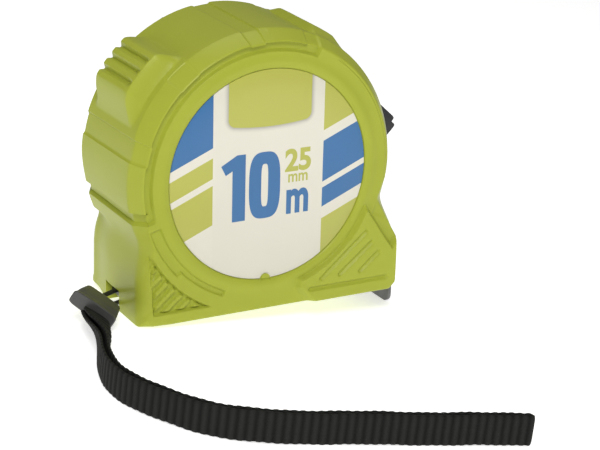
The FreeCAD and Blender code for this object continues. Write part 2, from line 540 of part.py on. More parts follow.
def curved_strip(name, lift, thick, half, x_low, x_high):
    """A strip that follows the blade's hollow, lifted above the blade's underside."""
    outer = tube_rod(name + "_outer", x_low, "0", CURVE_Z, f"Layout.blade_curve - ({lift})",
                     f"({x_high}) - ({x_low})", "X")
    inner = tube_rod(name + "_inner", f"{x_low} - 1", "0", CURVE_Z,
                     f"Layout.blade_curve - ({lift}) - ({thick})", f"({x_high}) - ({x_low}) + 2", "X")
    trim = block(name + "_trim", (f"{x_low} - 1", f"-({half})", "Layout.blade_low - 3"),
                 (f"{x_high} + 1", half, f"{CURVE_Z} - Layout.blade_curve / 2"))
    return common(name + "_strip", cut(name + "_arc", outer, inner), trim)


RIVET_X = ["Layout.hook_back - 4", "Layout.hook_back - 8.6"]
RIVETS = [(x, f"{side} * Sheet.rivet_spread") for x in RIVET_X for side in (-1, 1)]
blade_blank = curved_strip("blade", "0", "Sheet.blade_thick", "Sheet.blade_width / 2",
                           "2", "Layout.hook_back - 0.3")
blade_holes = joined("blade_holes", *[
    tube_rod(f"blade_hole_{i}", x, y, "Layout.blade_low - 2", "Sheet.rivet_radius", "8", "Z")
    for i, (x, y) in enumerate(RIVETS)])
tape_blade = cut("tape_blade", blade_blank, blade_holes)

# ---------------------------------------------------------------- end hook

hook_tab = curved_strip("tab", "Sheet.blade_thick + Sheet.tab_gap", "Sheet.tab_thick",
                        "Sheet.tab_half_wide", "Layout.hook_back - Sheet.tab_length",
                        "Layout.hook_back + Sheet.hook_thick / 2")
plate = new_body("hook_plate")
plate_sketch = blank_sketch(plate, "plate_sketch", "YZ_Plane", "Layout.hook_back")
HALF = "Sheet.blade_width / 2"
TAB_TOP = "Layout.blade_low + Sheet.blade_thick + Sheet.tab_gap + Sheet.tab_thick + 0.65"
polygon(plate_sketch, [
    (f"-{HALF}", "-Sheet.hook_drop"), (HALF, "-Sheet.hook_drop"), (HALF, "Layout.blade_low - 1"),
    ("Sheet.tab_half_wide + 0.4", TAB_TOP), ("-Sheet.tab_half_wide - 0.4", TAB_TOP),
    (f"-{HALF}", "Layout.blade_low - 1")])
plate_pad = plate.newObject("PartDesign::Pad", "plate_pad")
plate_pad.Profile = plate_sketch
plate_pad.setExpression("Length", "Sheet.hook_thick")
doc.recompute()
drop = -size("hook_drop")
plate_fillet = plate.newObject("PartDesign::Fillet", "plate_corners")
plate_fillet.Base = (plate_pad, edges_where(plate_pad.Shape, lambda e: (
    abs(e.BoundBox.ZMin - drop) < 1e-3 and abs(e.BoundBox.ZMax - drop) < 1e-3
    and e.BoundBox.YLength < 1e-3)))
plate_fillet.setExpression("Radius", "Sheet.hook_corner")
doc.recompute()
slots = []
for i, (x, y) in enumerate(RIVETS):
    reach = "Sheet.hook_float + Sheet.tab_gap"
    ends = [tube_rod(f"tab_slot_{i}_{side}", f"{x} + {side} * ({reach})", y, "Layout.blade_low - 1",
                     "Sheet.rivet_radius + Sheet.tab_gap", "6", "Z") for side in (-1, 1)]
    middle = block(f"tab_slot_{i}_mid",
                   (f"{x} - ({reach})", f"{y} - Sheet.rivet_radius - Sheet.tab_gap", "Layout.blade_low - 1"),
                   (f"{x} + ({reach})", f"{y} + Sheet.rivet_radius + Sheet.tab_gap", "Layout.blade_low + 5"))
    slots.append(joined(f"tab_slot_{i}", ends[0], ends[1], middle))
end_hook = cut("end_hook", joined("hook_blank", hook_tab, plate), joined("tab_slots", *slots))

rivets = []
TAB_FACE = ("Layout.blade_low + Sheet.rivet_spread^2 / (2 * Layout.blade_curve)")
for i, (x, y) in enumerate(RIVETS):
    low = f"{TAB_FACE} - 0.62"
    over = f"{TAB_FACE} + Sheet.blade_thick + Sheet.tab_gap + Sheet.tab_thick + 0.35"
    shank = tube_rod(f"rivet_shank_{i}", x, y, low, "Sheet.rivet_radius - 0.01", f"({over}) - ({low})", "Z")
    foot = tube_rod(f"rivet_foot_{i}", x, y, low, "Sheet.rivet_head", "0.4", "Z")
    cap = tube_rod(f"rivet_cap_{i}", x, y, over, "Sheet.rivet_head", "0.5", "Z")
    rivets.append(joined(f"rivet_{i}", shank, foot, cap))
hook_rivets = doc.addObject("Part::Compound", "hook_rivets")
hook_rivets.Links = rivets

bumper = new_body("mouth_bumper")
across_y(bumper, "bumper_block", "Pad", outline([
    ("Layout.front - 3.4", "0.3"), ("Layout.hook_back - Sheet.bumper_gap - 0.6", "0.3"),
    ("Layout.hook_back - Sheet.bumper_gap", "0.9"),
    ("Layout.hook_back - Sheet.bumper_gap", "Sheet.floor_wall - 0.4"),
    ("Layout.hook_back - Sheet.bumper_gap - 0.4", "Sheet.floor_wall"),
    ("Layout.front - 3.4", "Sheet.floor_wall")]), "-Layout.mouth_half + 0.1", "Layout.mouth_half - 0.1")

# ---------------------------------------------------------------- lock

lock = new_body("lock_button")
SHIELD = "Sheet.lock_half_wide + Sheet.shield_side"
LOCK_FACE = LOCK_BACK + " + Sheet.lock_plate"
across_y(lock, "lock_shield", "Pad", outline([
    (LOCK_BACK, "Sheet.shield_low"), (LOCK_FACE, "Sheet.shield_low"),
    (LOCK_FACE, "Sheet.shield_top"), (LOCK_BACK, "Sheet.shield_top")]), f"-({SHIELD})", SHIELD)
across_y(lock, "lock_neck", "Pad", outline([
    (LOCK_BACK, "Sheet.neck_low"), ("Sheet.ring_radius + 1", "Sheet.neck_low"),
    ("Sheet.ring_radius + 1", "Sheet.neck_top"), (LOCK_BACK, "Sheet.neck_top")]),
    "-Sheet.lock_half_wide + 0.6", "Sheet.lock_half_wide - 0.6")
RIM = "Sheet.ring_radius + Sheet.lock_gap"
across_y(lock, "lock_lip", "Pad", outline([
    (RIM, "Sheet.neck_low - 3.4"), (RIM + " + 6.9", "Sheet.neck_low + 3.6"),
    (RIM + " + 7.1", "Sheet.neck_low + 4.4"), (RIM + " + 6.0", "Sheet.neck_low + 5.3"),
    (RIM + " + 6.8", "Sheet.neck_low + 6.5"), (RIM + " + 6.2", "Sheet.neck_low + 7.3"),
    (RIM, "Sheet.neck_top + 2.9")]), "-Sheet.lock_half_wide", "Sheet.lock_half_wide")
across_y(lock, "lock_arm", "Pad", outline([
    (LOCK_BACK + " - 6.5", "11.5"), (LOCK_FACE, "11.5"), (LOCK_FACE, "Sheet.shield_low + 1"),
    (LOCK_BACK, "Sheet.shield_low + 1"), (LOCK_BACK, "14"), (LOCK_BACK + " - 6.5", "14")]),
    "-Sheet.arm_half_wide", "Sheet.arm_half_wide")

brake = new_body("brake_pad")
across_y(brake, "brake_block", "Pad", outline([
    (LOCK_BACK + " - 6.5", "11.5 - Sheet.brake_height"), (LOCK_BACK + " - 2.5", "11.5 - Sheet.brake_height"),
    (LOCK_BACK + " - 2.5", "11.5"), (LOCK_BACK + " - 6.5", "11.5")]),
    "-Sheet.arm_half_wide", "Sheet.arm_half_wide")

# ---------------------------------------------------------------- wrist strap

strap_pin = tube_rod("strap_pin", "-Layout.rear + Sheet.pin_inset", "-Sheet.pin_half_length",
                     "Sheet.pin_height", "Sheet.pin_radius", "2 * Sheet.pin_half_length", "Y")

# The tape stands on its hook's tip and the rear edge of its base, so the ground slopes under it.
GROUND_SLOPE = size("hook_drop") / (layout.hook_back + layout.rear)


def ground(x):
    """The height of the surface that the tape stands on, below a place along X."""
    return -GROUND_SLOPE * (x + layout.rear)


def rounded_route(points, name):
    """Straight runs joined by tangent arcs; each arc is as large as its two runs allow."""
    edges, radii = [], []
    last = points[0]
    for before, corner, after in zip(points, points[1:], points[2:]):
        into, out = corner - before, after - corner
        shorter = min(into.Length, out.Length)
        half_turn = into.getAngle(out) / 2
        radius = 0.45 * shorter / math.tan(half_turn)
        radii.append(radius)
        into, out = into.normalize(), out.normalize()
        start = corner - into * (0.45 * shorter)
        end = corner + out * (0.45 * shorter)
        inward = (out - into).normalize()
        middle = corner + inward * (radius / math.cos(half_turn) - radius)
        edges.append(Part.LineSegment(last, start).toShape())
        edges.append(Part.Arc(start, middle, end).toShape())
        last = end
    edges.append(Part.LineSegment(last, points[-1]).toShape())
    length = sum(edge.Length for edge in edges)
    print(name, "length", round(length, 1), "smallest radii", [round(r, 1) for r in sorted(radii)[:3]])
    return edges, length


# The band's middle line on the ground, clamp to folded end: x behind the rear foot's wall, and y.
STRAP_ROUTE = [(-13.1, -18.6), (-15.9, -28.6), (-19.7, -40.4), (-24.5, -52.8), (-26.5, -64.4),
               (-24.5, -75.6), (-18.9, -86.6), (-11.1, -96.8), (1.1, -103.6), (17.3, -107.4),
               (34.3, -112.0), (52.3, -116.4), (69.9, -120.6)]


def moved_sideways(edges, shift):
    """The edges of a level path, moved to its left by a distance."""
    moved = []
    for edge in edges:
        first, last = edge.ParameterRange
        points = [edge.valueAt(t) + Vector(0, 0, 1).cross(edge.tangentAt(t)) * shift
                  for t in (first, (first + last) / 2, last)]
        straight = edge.Curve.TypeId == "Part::GeomLine"
        moved.append((Part.LineSegment(points[0], points[2]) if straight else Part.Arc(*points)).toShape())
    return moved


def footprint(edges, half_width):
    """The face between a level path's two sides, closed at its ends."""
    left, right = moved_sideways(edges, half_width), moved_sideways(edges, -half_width)
    ends = [Part.LineSegment(left[0].valueAt(left[0].FirstParameter),
                             right[0].valueAt(right[0].FirstParameter)).toShape(),
            Part.LineSegment(left[-1].valueAt(left[-1].LastParameter),
                             right[-1].valueAt(right[-1].LastParameter)).toShape()]
    return Part.Face(Part.Wire(Part.__sortEdges__(left + right + ends)))


def strap_shape():
    """Two layers of webbing on edge, joined at the fold, standing on the sloping ground."""
    layer, gap, width = size("strap_layer"), size("strap_gap"), size("strap_width")
    edges, length = rounded_route([Vector(x - layout.rear, y, 0) for x, y in STRAP_ROUTE], "wrist_strap")
    start, end = (edges[-1].valueAt(t) for t in edges[-1].ParameterRange)
    to_fold = edges[:-1] + [Part.LineSegment(start, end + (start - end).normalize() * layer).toShape()]
    tall = 4 * width
    solid = footprint(edges, layer + gap / 2).cut(footprint(to_fold, gap / 2)).extrude(Vector(0, 0, tall))
    solid.translate(Vector(0, 0, -tall / 2))
    # A slab as thick as the webbing is wide, lying on the ground, trims the upright band.
    slab = Part.makeBox(400, 400, width)
    slab.translate(Vector(-200, -300, 0.1))
    slab.rotate(Vector(0, 0, 0), Vector(0, 1, 0), math.degrees(math.atan(GROUND_SLOPE)))
    slab.translate(Vector(-layout.rear, 0, 0))
    band = solid.common(slab).Solids[0]
    print("wrist_strap volume", round(band.Volume), "section x length", round(2 * layer * width * length))
    return band


wrist_strap = doc.addObject("Part::Feature", "wrist_strap")
wrist_strap.Shape = strap_shape()

# Clamp: a folded metal sleeve, turned between the loop and the webbing. Its own x runs along its width.
CLAMP_BEHIND = 10.9
CLAMP_AT = Vector(-layout.rear - CLAMP_BEHIND, -14.4, ground(-layout.rear - CLAMP_BEHIND) + 6.0)
CLAMP_WIDE = Vector(0.64, -0.56, -0.52)
CLAMP_LONG = Vector(0.60, 0.79, -0.12)


def clamp_placement():
    across = Vector(CLAMP_WIDE).normalize()
    normal = across.cross(CLAMP_LONG).normalize()
    along = normal.cross(across)
    matrix = FreeCAD.Matrix(across.x, along.x, normal.x, CLAMP_AT.x,
                            across.y, along.y, normal.y, CLAMP_AT.y,
                            across.z, along.z, normal.z, CLAMP_AT.z, 0, 0, 0, 1)
    return FreeCAD.Placement(matrix)


def clamp_shape():
    """A tapered block: narrower towards the loop, with its long edges broken."""
    half_w, half_l, half_t = size("clamp_width") / 2, size("clamp_length") / 2, size("clamp_thick") / 2
    corners = [Vector(-half_w, -half_l, 0), Vector(half_w, -half_l, 0), Vector(half_w - 1.5, half_l, 0),
               Vector(-half_w + 1.5, half_l, 0)]
    solid = Part.Face(Part.makePolygon(corners + corners[:1])).extrude(Vector(0, 0, 2 * half_t))
    solid.translate(Vector(0, 0, -half_t))
    return solid.makeChamfer(0.8, solid.Edges)


strap_clamp = doc.addObject("Part::Feature", "strap_clamp")
strap_clamp.Shape = clamp_shape()
strap_clamp.Placement = clamp_placement()


def loop_shape():
    """A thin cord from the clamp, over the pin, round it and back under it to the clamp."""
    pin = Vector(-layout.rear + size("pin_inset"), 0, size("pin_height"))
    cord = size("loop_radius")
    wrap = size("pin_radius") + cord + 0.05
    place = clamp_placement()
    long_half = size("clamp_length") / 2
    upper_end = place.multVec(Vector(-1.6, long_half + 0.05, 0))
    lower_end = place.multVec(Vector(1.8, long_half + 0.05, 0))
    over, behind, under = (pin + Vector(0, 0, wrap), pin + Vector(wrap, 0, 0), pin + Vector(0, 0, -wrap))
    edges = [Part.LineSegment(upper_end, over).toShape(), Part.Arc(over, behind, under).toShape(),
             Part.LineSegment(under, lower_end).toShape()]
    path = Part.Wire(edges)
    solids = []
    for edge in edges:
        start = edge.valueAt(edge.FirstParameter)
        ring = Part.Wire([Part.makeCircle(cord, start, edge.tangentAt(edge.FirstParameter))])
        solids.append(Part.Wire([edge]).makePipeShell([ring], True, False))
    knuckles = [Part.makeSphere(cord * 1.001, point) for point in (over, under)]
    body = solids[0].multiFuse(solids[1:] + knuckles)
    print("strap_loop length", round(path.Length, 1), "volume", round(body.Volume, 1),
          "section x length", round(math.pi * cord ** 2 * path.Length, 1))
    return body


strap_loop = doc.addObject("Part::Feature", "strap_loop")
strap_loop.Shape = loop_shape()

# ---------------------------------------------------------------- check and write

NODES = [shell, cover, case_screws, label, clip, belt_clip_screw, post, drum, flange, coil, power_spring,
         tape_blade, end_hook, hook_rivets, bumper, lock, brake, strap_pin, strap_loop, strap_clamp,
         wrist_strap]

doc.recompute()
for item in doc.Objects:
    if "Invalid" in item.State or "Error" in item.State:
        raise RuntimeError(f"{item.Name} failed: {item.State}")
for node in NODES:
    shape = node.Shape
    if shape.isNull() or not shape.isValid() or not shape.Solids:
        raise RuntimeError(f"{node.Name} has no valid solid")
os.makedirs("parts", exist_ok=True)
for node in NODES:
    node.Shape.exportStep(f"parts/{node.Name}.step")
    box = node.Shape.BoundBox
    print(f"{node.Name:16s} solids {len(node.Shape.Solids)} volume {node.Shape.Volume:9.1f}"
          f"  x {box.XMin:6.1f} {box.XMax:6.1f}  y {box.YMin:6.1f} {box.YMax:6.1f}"
          f"  z {box.ZMin:6.1f} {box.ZMax:6.1f}")
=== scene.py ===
"""Builds the finished pieces of a pocket tape measure round its mechanical frame.

Run as a script. Sizes below are in millimetres unless a name says otherwise; meshes are in metres.
"""
import math

import bmesh
import bpy
import numpy as np
from mathutils import Matrix, Vector


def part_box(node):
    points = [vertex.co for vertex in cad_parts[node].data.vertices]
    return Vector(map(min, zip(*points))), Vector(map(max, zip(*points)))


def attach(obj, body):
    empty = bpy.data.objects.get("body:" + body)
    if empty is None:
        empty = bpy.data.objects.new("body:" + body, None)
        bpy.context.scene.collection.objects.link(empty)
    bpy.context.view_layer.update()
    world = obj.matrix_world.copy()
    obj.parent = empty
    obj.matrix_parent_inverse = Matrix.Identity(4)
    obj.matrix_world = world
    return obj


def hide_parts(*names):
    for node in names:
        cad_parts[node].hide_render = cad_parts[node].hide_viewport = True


bl_info = {
    "name": "Tape measure",
    "version": (1, 0, 0),
    "blender": (4, 5, 0),
    "location": "View3D > Sidebar > Tape",
    "description": "Case, label, hook, lock, belt clip and wrist strap of a pocket tape measure",
    "category": "Object",
}

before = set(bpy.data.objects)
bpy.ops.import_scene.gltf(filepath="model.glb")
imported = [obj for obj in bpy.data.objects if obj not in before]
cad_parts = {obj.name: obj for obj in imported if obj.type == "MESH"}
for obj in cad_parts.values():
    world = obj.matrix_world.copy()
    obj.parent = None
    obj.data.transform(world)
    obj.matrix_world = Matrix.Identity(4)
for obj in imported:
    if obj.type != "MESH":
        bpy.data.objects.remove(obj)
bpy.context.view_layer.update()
MM = 0.001

# ---------------------------------------------------------------- sizes read from the frame


def box_mm(node):
    """Lowest and highest corners of a frame node, in millimetres."""
    low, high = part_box(node)
    return low / MM, high / MM


# AXLE is the spool's height and RING the rim's radius. FRONT and REAR are how far the feet's upright walls
# stand from the axis. FACE is each side's flat, and SPLIT is where the two halves meet, along Y.
SHELL_LOW, SHELL_HIGH = box_mm("case_shell")
_, COVER_HIGH = box_mm("case_cover")
LABEL_LOW, LABEL_HIGH = box_mm("front_label")
COIL_LOW, COIL_HIGH = box_mm("tape_coil")
AXLE = (COIL_LOW.z + COIL_HIGH.z) / 2
RING = -SHELL_LOW.x
FRONT = SHELL_HIGH.x
REAR_INSET = 2.0
REAR = RING - REAR_INSET
FACE = COVER_HIGH.y
SPLIT = SHELL_HIGH.y
PANEL_PROUD = -SHELL_LOW.y - FACE
LABEL_RADIUS = LABEL_HIGH.x
LABEL_SEAT = -LABEL_HIGH.y
LABEL_FACE = -LABEL_LOW.y
LABEL_GAP = 0.15
SEAT_RADIUS = LABEL_RADIUS + LABEL_GAP
HOOK_LOW, HOOK_HIGH = box_mm("end_hook")
HOOK_PLATE = 1.0
GROUND_SLOPE = -HOOK_LOW.z / (HOOK_HIGH.x - HOOK_PLATE + REAR)
PIN_LOW, PIN_HIGH = box_mm("strap_pin")
PIN = (PIN_LOW + PIN_HIGH) / 2

# The wrist strap's middle line, as x from the rear foot's wall and y.
STRAP_ROUTE = [(-13.1, -18.6), (-15.9, -28.6), (-19.7, -40.4), (-24.5, -52.8), (-26.5, -64.4),
               (-24.5, -75.6), (-18.9, -86.6), (-11.1, -96.8), (1.1, -103.6), (17.3, -107.4),
               (34.3, -112.0), (52.3, -116.4), (69.9, -120.6)]
STRAP_WIDTH = 8.7
# The gap from the middle line to each layer: at the clamp, how much it grows and over what length. The last
# is the length over which the webbing's width turns from the clamp's tilt to upright.
GAP_AT_CLAMP, GAP_GROWS, GAP_RUN, TURN_RUN = 0.10, 0.22, 14, 30

# The clamp's centre, the direction of its width, and the direction of its length, towards the loop.
CLAMP_AT = Vector((-REAR - 10.9, -14.4, GROUND_SLOPE * 10.9 + 6.0))
CLAMP_WIDE = Vector((0.64, -0.56, -0.52)).normalized()
CLAMP_LONG = Vector((0.60, 0.79, -0.12))
# The clamp's sleeve: half its length, half its width at the webbing and at the loop, and half its thickness.
SLEEVE_HALF, SLEEVE_WIDE, SLEEVE_THICK = 5.0, (7.5, 6.0), 2.45
# The pressed tongue's rings: each one's share of its size and its height over the sleeve.
TONGUE = [(0.25, 0.42), (0.5, 0.62), (0.75, 0.8), (0.92, 0.62), (1.0, 0.2), (1.04, -0.4)]
# The cord loop: the pin's radius and the cord's, the room between them, and the drawn cord's radius.
PIN_RADIUS, CORD_RADIUS, CORD_ROOM, CORD_DRAWN = 1.25, 0.65, 0.1, 0.72


def ground(x):
    """Height of the surface that the tape stands on."""
    return -GROUND_SLOPE * (x + REAR)


def linear(red, green, blue):
    """A display colour given as 0 to 255, as linear light."""
    parts = []
    for value in (red, green, blue):
        c = value / 255
        parts.append(c / 12.92 if c <= 0.04045 else ((c + 0.055) / 1.055) ** 2.4)
    return tuple(parts)


# ---------------------------------------------------------------- settings

def colour_setting(name, description, value):
    """A colour property, in linear light."""
    return bpy.props.FloatVectorProperty(name=name, description=description, default=value,
                                         subtype="COLOR", size=3, min=0.0, max=1.0)


def size_setting(name, description, millimetres):
    """A length property, kept in metres."""
    return bpy.props.FloatProperty(name=name, description=description, default=millimetres * MM,
                                   subtype="DISTANCE", unit="LENGTH", precision=5, min=0.0)


class TapeSettings(bpy.types.PropertyGroup):
    """Sizes and colours that a user may change"""
    case: colour_setting("Case", "Colour of the moulded case", linear(176, 184, 67))
    case_dark: colour_setting("Case shade", "Slightly darker tone mixed into the case", linear(166, 175, 60))
    label_blue: colour_setting("Label blue", "Blue of the printed stripes and numbers", linear(54, 113, 169))
    label_green: colour_setting("Label green", "Green of the printed stripes", linear(189, 190, 84))
    label_white: colour_setting("Label white", "Ground colour of the label", linear(233, 229, 214))
    webbing: colour_setting("Webbing", "Colour of the strap's ribs", linear(37, 38, 35))
    dark_plastic: colour_setting("Dark plastic", "Colour of the lock", linear(24, 24, 25))
    pad_rise: size_setting("Thumb pad", "How far the rear thumb pad stands out of the rim", 5.4)
    grip_rise: size_setting("Front grip", "How far the grip above the lock stands out of the rim", 2.0)
    strap_layer: size_setting("Webbing thickness", "Thickness of one layer of the strap at a rib", 1.25)
    rib_pitch: size_setting("Rib pitch", "Distance from one rib of the webbing to the next", 2.4)
    case_columns: bpy.props.IntProperty(name="Case columns", description="Grid columns round the case",
                                        default=740, min=120, max=760)


def settings():
    """The scene's tape settings."""
    return bpy.context.scene.tape_measure


def size(name):
    """One of the length settings, in millimetres."""
    return round(getattr(settings(), name) / MM, 4)


# ---------------------------------------------------------------- mesh helpers

SMOOTH_ANGLE = 35.0
# For a frame node's copy: the distance in metres within which points are one, and the angles in degrees under
# which faces are one flat, over which an edge is rounded, and over which shading breaks.
MERGE_WITHIN = 2e-6
FLAT_ANGLE, EASED_ANGLE, EASED_SMOOTH_ANGLE = 1, 28, 32


def link(mesh, name):
    """A new object in the scene that shows a mesh or a curve."""
    piece = bpy.data.objects.new(name, mesh)
    bpy.context.scene.collection.objects.link(piece)
    return piece


def signed_volume(points, faces):
    """Volume from the sum of tetrahedra to the origin; it is negative when the faces point inwards."""
    total = 0.0
    for face_set in faces:
        for i in range(1, face_set.shape[1] - 1):
            a, b, c = (points[face_set[:, k]] for k in (0, i, i + 1))
            total += np.einsum("ij,ij->i", a, np.cross(b, c)).sum()
    return total / 6


def mesh_piece(name, points, faces, smooth_angle=SMOOTH_ANGLE):
    """A mesh from an array of points in millimetres and arrays of faces, with its faces outwards."""
    if signed_volume(points, faces) < 0:
        faces = [f[:, ::-1] for f in faces]
    mesh = bpy.data.meshes.new(name)
    mesh.from_pydata((points * MM).tolist(), [], [row for f in faces for row in f.tolist()])
    mesh.validate()
    return finish_shading(link(mesh, name), smooth_angle)


def finish_shading(piece, angle):
    """Smooth shading that breaks where two faces meet at more than an angle in degrees."""
    piece.data.shade_smooth()
    piece.data.set_sharp_from_angle(angle=math.radians(angle))
    return piece


def closed_rows(rows, first_pole=None, last_pole=None):
    """Points and faces of rings of points joined row to row; each end is a pole or a flat fan's centre."""
    count, columns, _ = rows.shape
    points = rows.reshape(-1, 3)
    index = np.arange(count * columns).reshape(count, columns)
    nxt = np.roll(index, -1, axis=1)
    quads = np.stack([index[:-1], nxt[:-1], nxt[1:], index[1:]], axis=-1).reshape(-1, 4)
    first_pole = rows[0].mean(0) if first_pole is None else np.asarray(first_pole, float)
    last_pole = rows[-1].mean(0) if last_pole is None else np.asarray(last_pole, float)
    top, bottom = count * columns, count * columns + 1
    points = np.vstack([points, first_pole, last_pole])
    fans = np.vstack([np.stack([np.full(columns, top), nxt[0], index[0]], axis=-1),
                      np.stack([np.full(columns, bottom), index[-1], nxt[-1]], axis=-1)])
    return points, [quads, fans]


def full_turn(count):
    """Angles evenly spaced round a circle, without the last one's repeat."""
    return np.linspace(0, 2 * np.pi, count, endpoint=False)


def evaluated_mesh(piece):
    """A new mesh of a piece as its modifiers or its curve's outline leave it."""
    bpy.context.view_layer.update()
    return bpy.data.meshes.new_from_object(piece.evaluated_get(bpy.context.evaluated_depsgraph_get()))


def box_piece(name, low, high):
    """A plain box, used only to cut openings."""
    corners = np.array([[(low, high)[i][0], (low, high)[j][1], (low, high)[k][2]]
                        for i, j, k in np.ndindex(2, 2, 2)], float)
    quads = np.array([[0, 1, 3, 2], [4, 6, 7, 5], [0, 4, 5, 1], [2, 3, 7, 6], [0, 2, 6, 4], [1, 5, 7, 3]])
    return mesh_piece(name, corners, [quads])


def drill_piece(name, x, z, radius, y_low, y_high, columns=40):
    """A cylinder along Y, used only to cut openings."""
    turn = full_turn(columns)
    ring = np.stack([x + radius * np.cos(turn), np.zeros(columns), z + radius * np.sin(turn)], axis=-1)
    rows = np.stack([ring + [0, y_low, 0], ring + [0, y_high, 0]])
    return mesh_piece(name, *closed_rows(rows))


def cut_out(piece, cutters):
    """Takes closed cutters out of a closed piece and leaves the result as its mesh."""
    for cutter in cutters:
        boolean = piece.modifiers.new("cut", "BOOLEAN")
        boolean.object, boolean.operation, boolean.solver = cutter, "DIFFERENCE", "MANIFOLD"
    mesh = evaluated_mesh(piece)
    piece.modifiers.clear()
    piece.data = mesh
    for cutter in cutters:
        bpy.data.meshes.remove(cutter.data)
    return finish_shading(piece, SMOOTH_ANGLE)


def eased_copy(node, name, width):
    """A frame node's shape: doubled points merged, flats joined and sharp edges rounded off."""
    piece = link(bpy.data.meshes.new(name), name)
    shape = bmesh.new()
    shape.from_mesh(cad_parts[node].data)
    bmesh.ops.remove_doubles(shape, verts=shape.verts, dist=MERGE_WITHIN)
    bmesh.ops.dissolve_limit(shape, angle_limit=math.radians(FLAT_ANGLE), verts=shape.verts,
                             edges=shape.edges)
    shape.to_mesh(piece.data)
    shape.free()
    piece.data.materials.clear()
    bevel = piece.modifiers.new("eased", "BEVEL")
    bevel.width, bevel.segments, bevel.limit_method = width * MM, 3, "ANGLE"
    bevel.angle_limit = math.radians(EASED_ANGLE)
    mesh = evaluated_mesh(piece)
    piece.modifiers.clear()
    piece.data = mesh
    finish_shading(piece, EASED_SMOOTH_ANGLE)
    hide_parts(node)
    return piece


def step(value):
    """Smooth step from 0 to 1 as value goes from 0 to 1."""
    t = np.clip(value, 0, 1)
    return t * t * (3 - 2 * t)


def ramp(value):
    """A straight ramp from 0 to 1 with softened ends."""
    return 0.6 * np.clip(value, 0, 1) + 0.4 * step(value)


def window(value, low, high, edge):
    """1 between low and high, falling smoothly to 0 over edge, centred on each limit."""
    return step((value - low) / edge + 0.5) * step((high - value) / edge + 0.5)


def soft_min(a, b, reach):
    """The smaller of two values, blended by a parabola where they differ by less than reach."""
    blend = np.clip(0.5 + 0.5 * (b - a) / reach, 0, 1)
    return b + (a - b) * blend - reach * blend * (1 - blend)


def soft_max(a, b, reach):
    """The larger of two values, blended in the same way."""
    return -soft_min(-a, -b, reach)


# ---------------------------------------------------------------- materials

class Nodes:
    """A material under construction, with short calls for the nodes used here."""

    def __init__(self, name):
        self.material = bpy.data.materials.new(name)
        self.material.use_nodes = True
        self.tree = self.material.node_tree
        self.shader = next(n for n in self.tree.nodes if n.type == "BSDF_PRINCIPLED")

    def add(self, kind, **values):
        """A new node with its options set."""
        node = self.tree.nodes.new(kind)
        for key, value in values.items():
            setattr(node, key, value)
        return node

    def feed(self, socket, value):
        """Links an output to an input, or sets the input's own value."""
        if isinstance(value, bpy.types.NodeSocket):
            self.tree.links.new(value, socket)
        else:
            socket.default_value = value

    def math(self, operation, *values, clamp=False):
        """The output of a math node."""
        node = self.add("ShaderNodeMath", operation=operation, use_clamp=clamp)
        for socket, value in zip(node.inputs, values):
            self.feed(socket, value)
        return node.outputs[0]

    def place(self):
        """Object coordinates in millimetres, as x, y and z outputs."""
        coords = self.add("ShaderNodeTexCoord")
        scale = self.add("ShaderNodeVectorMath", operation="SCALE")
        self.feed(scale.inputs[0], coords.outputs["Object"])
        scale.inputs["Scale"].default_value = 1 / MM
        split = self.add("ShaderNodeSeparateXYZ")
        self.feed(split.inputs[0], scale.outputs[0])
        return scale.outputs[0], split.outputs

    def noise(self, vector, scale, detail=3.0):
        """Noise whose scale is its features to the millimetre."""
        node = self.add("ShaderNodeTexNoise")
        self.feed(node.inputs["Vector"], vector)
        node.inputs["Scale"].default_value = scale
        node.inputs["Detail"].default_value = detail
        return node.outputs[0]

    def mix(self, factor, first, second, blend="MIX"):
        """Two colours mixed; the factor is the second one's share."""
        node = self.add("ShaderNodeMix", data_type="RGBA", blend_type=blend)
        self.feed(node.inputs[0], factor)
        for socket, value in ((node.inputs[6], first), (node.inputs[7], second)):
            self.feed(socket, value if isinstance(value, bpy.types.NodeSocket) else (*value, 1.0))
        return node.outputs[2]

    def bump(self, height, strength, distance=0.1):
        """Bump whose distance is in millimetres."""
        node = self.add("ShaderNodeBump")
        node.inputs["Strength"].default_value = strength
        node.inputs["Distance"].default_value = distance * MM
        self.feed(node.inputs["Height"], height)
        self.feed(self.shader.inputs["Normal"], node.outputs[0])

    def set(self, **values):
        """Feeds the shader's inputs, named with underscores for spaces."""
        for key, value in values.items():
            socket = self.shader.inputs[key.replace("_", " ")]
            if isinstance(value, tuple) and len(value) == 3:
                value = (*value, 1.0)
            self.feed(socket, value)


def speckled(name, base, shade, roughness, spread, grain, bump, metallic=0.0, coat=0.0, distance=0.05,
             specular=0.5):
    """A plain finish with slow tone changes, uneven roughness and a fine surface grain."""
    nodes = Nodes(name)
    vector, _ = nodes.place()
    slow = nodes.noise(vector, 0.06, 2.0)
    fine = nodes.noise(vector, grain, 2.0)
    tone = nodes.math("MULTIPLY_ADD", fine, 0.35, nodes.math("MULTIPLY", slow, 0.65))
    nodes.set(Base_Color=nodes.mix(tone, shade, base), Metallic=metallic, Specular_IOR_Level=specular,
              Roughness=nodes.math("MULTIPLY_ADD", fine, spread, roughness - spread / 2))
    if coat:
        nodes.set(Coat_Weight=coat, Coat_Roughness=0.25)
    nodes.bump(fine, bump, distance)
    return nodes.material


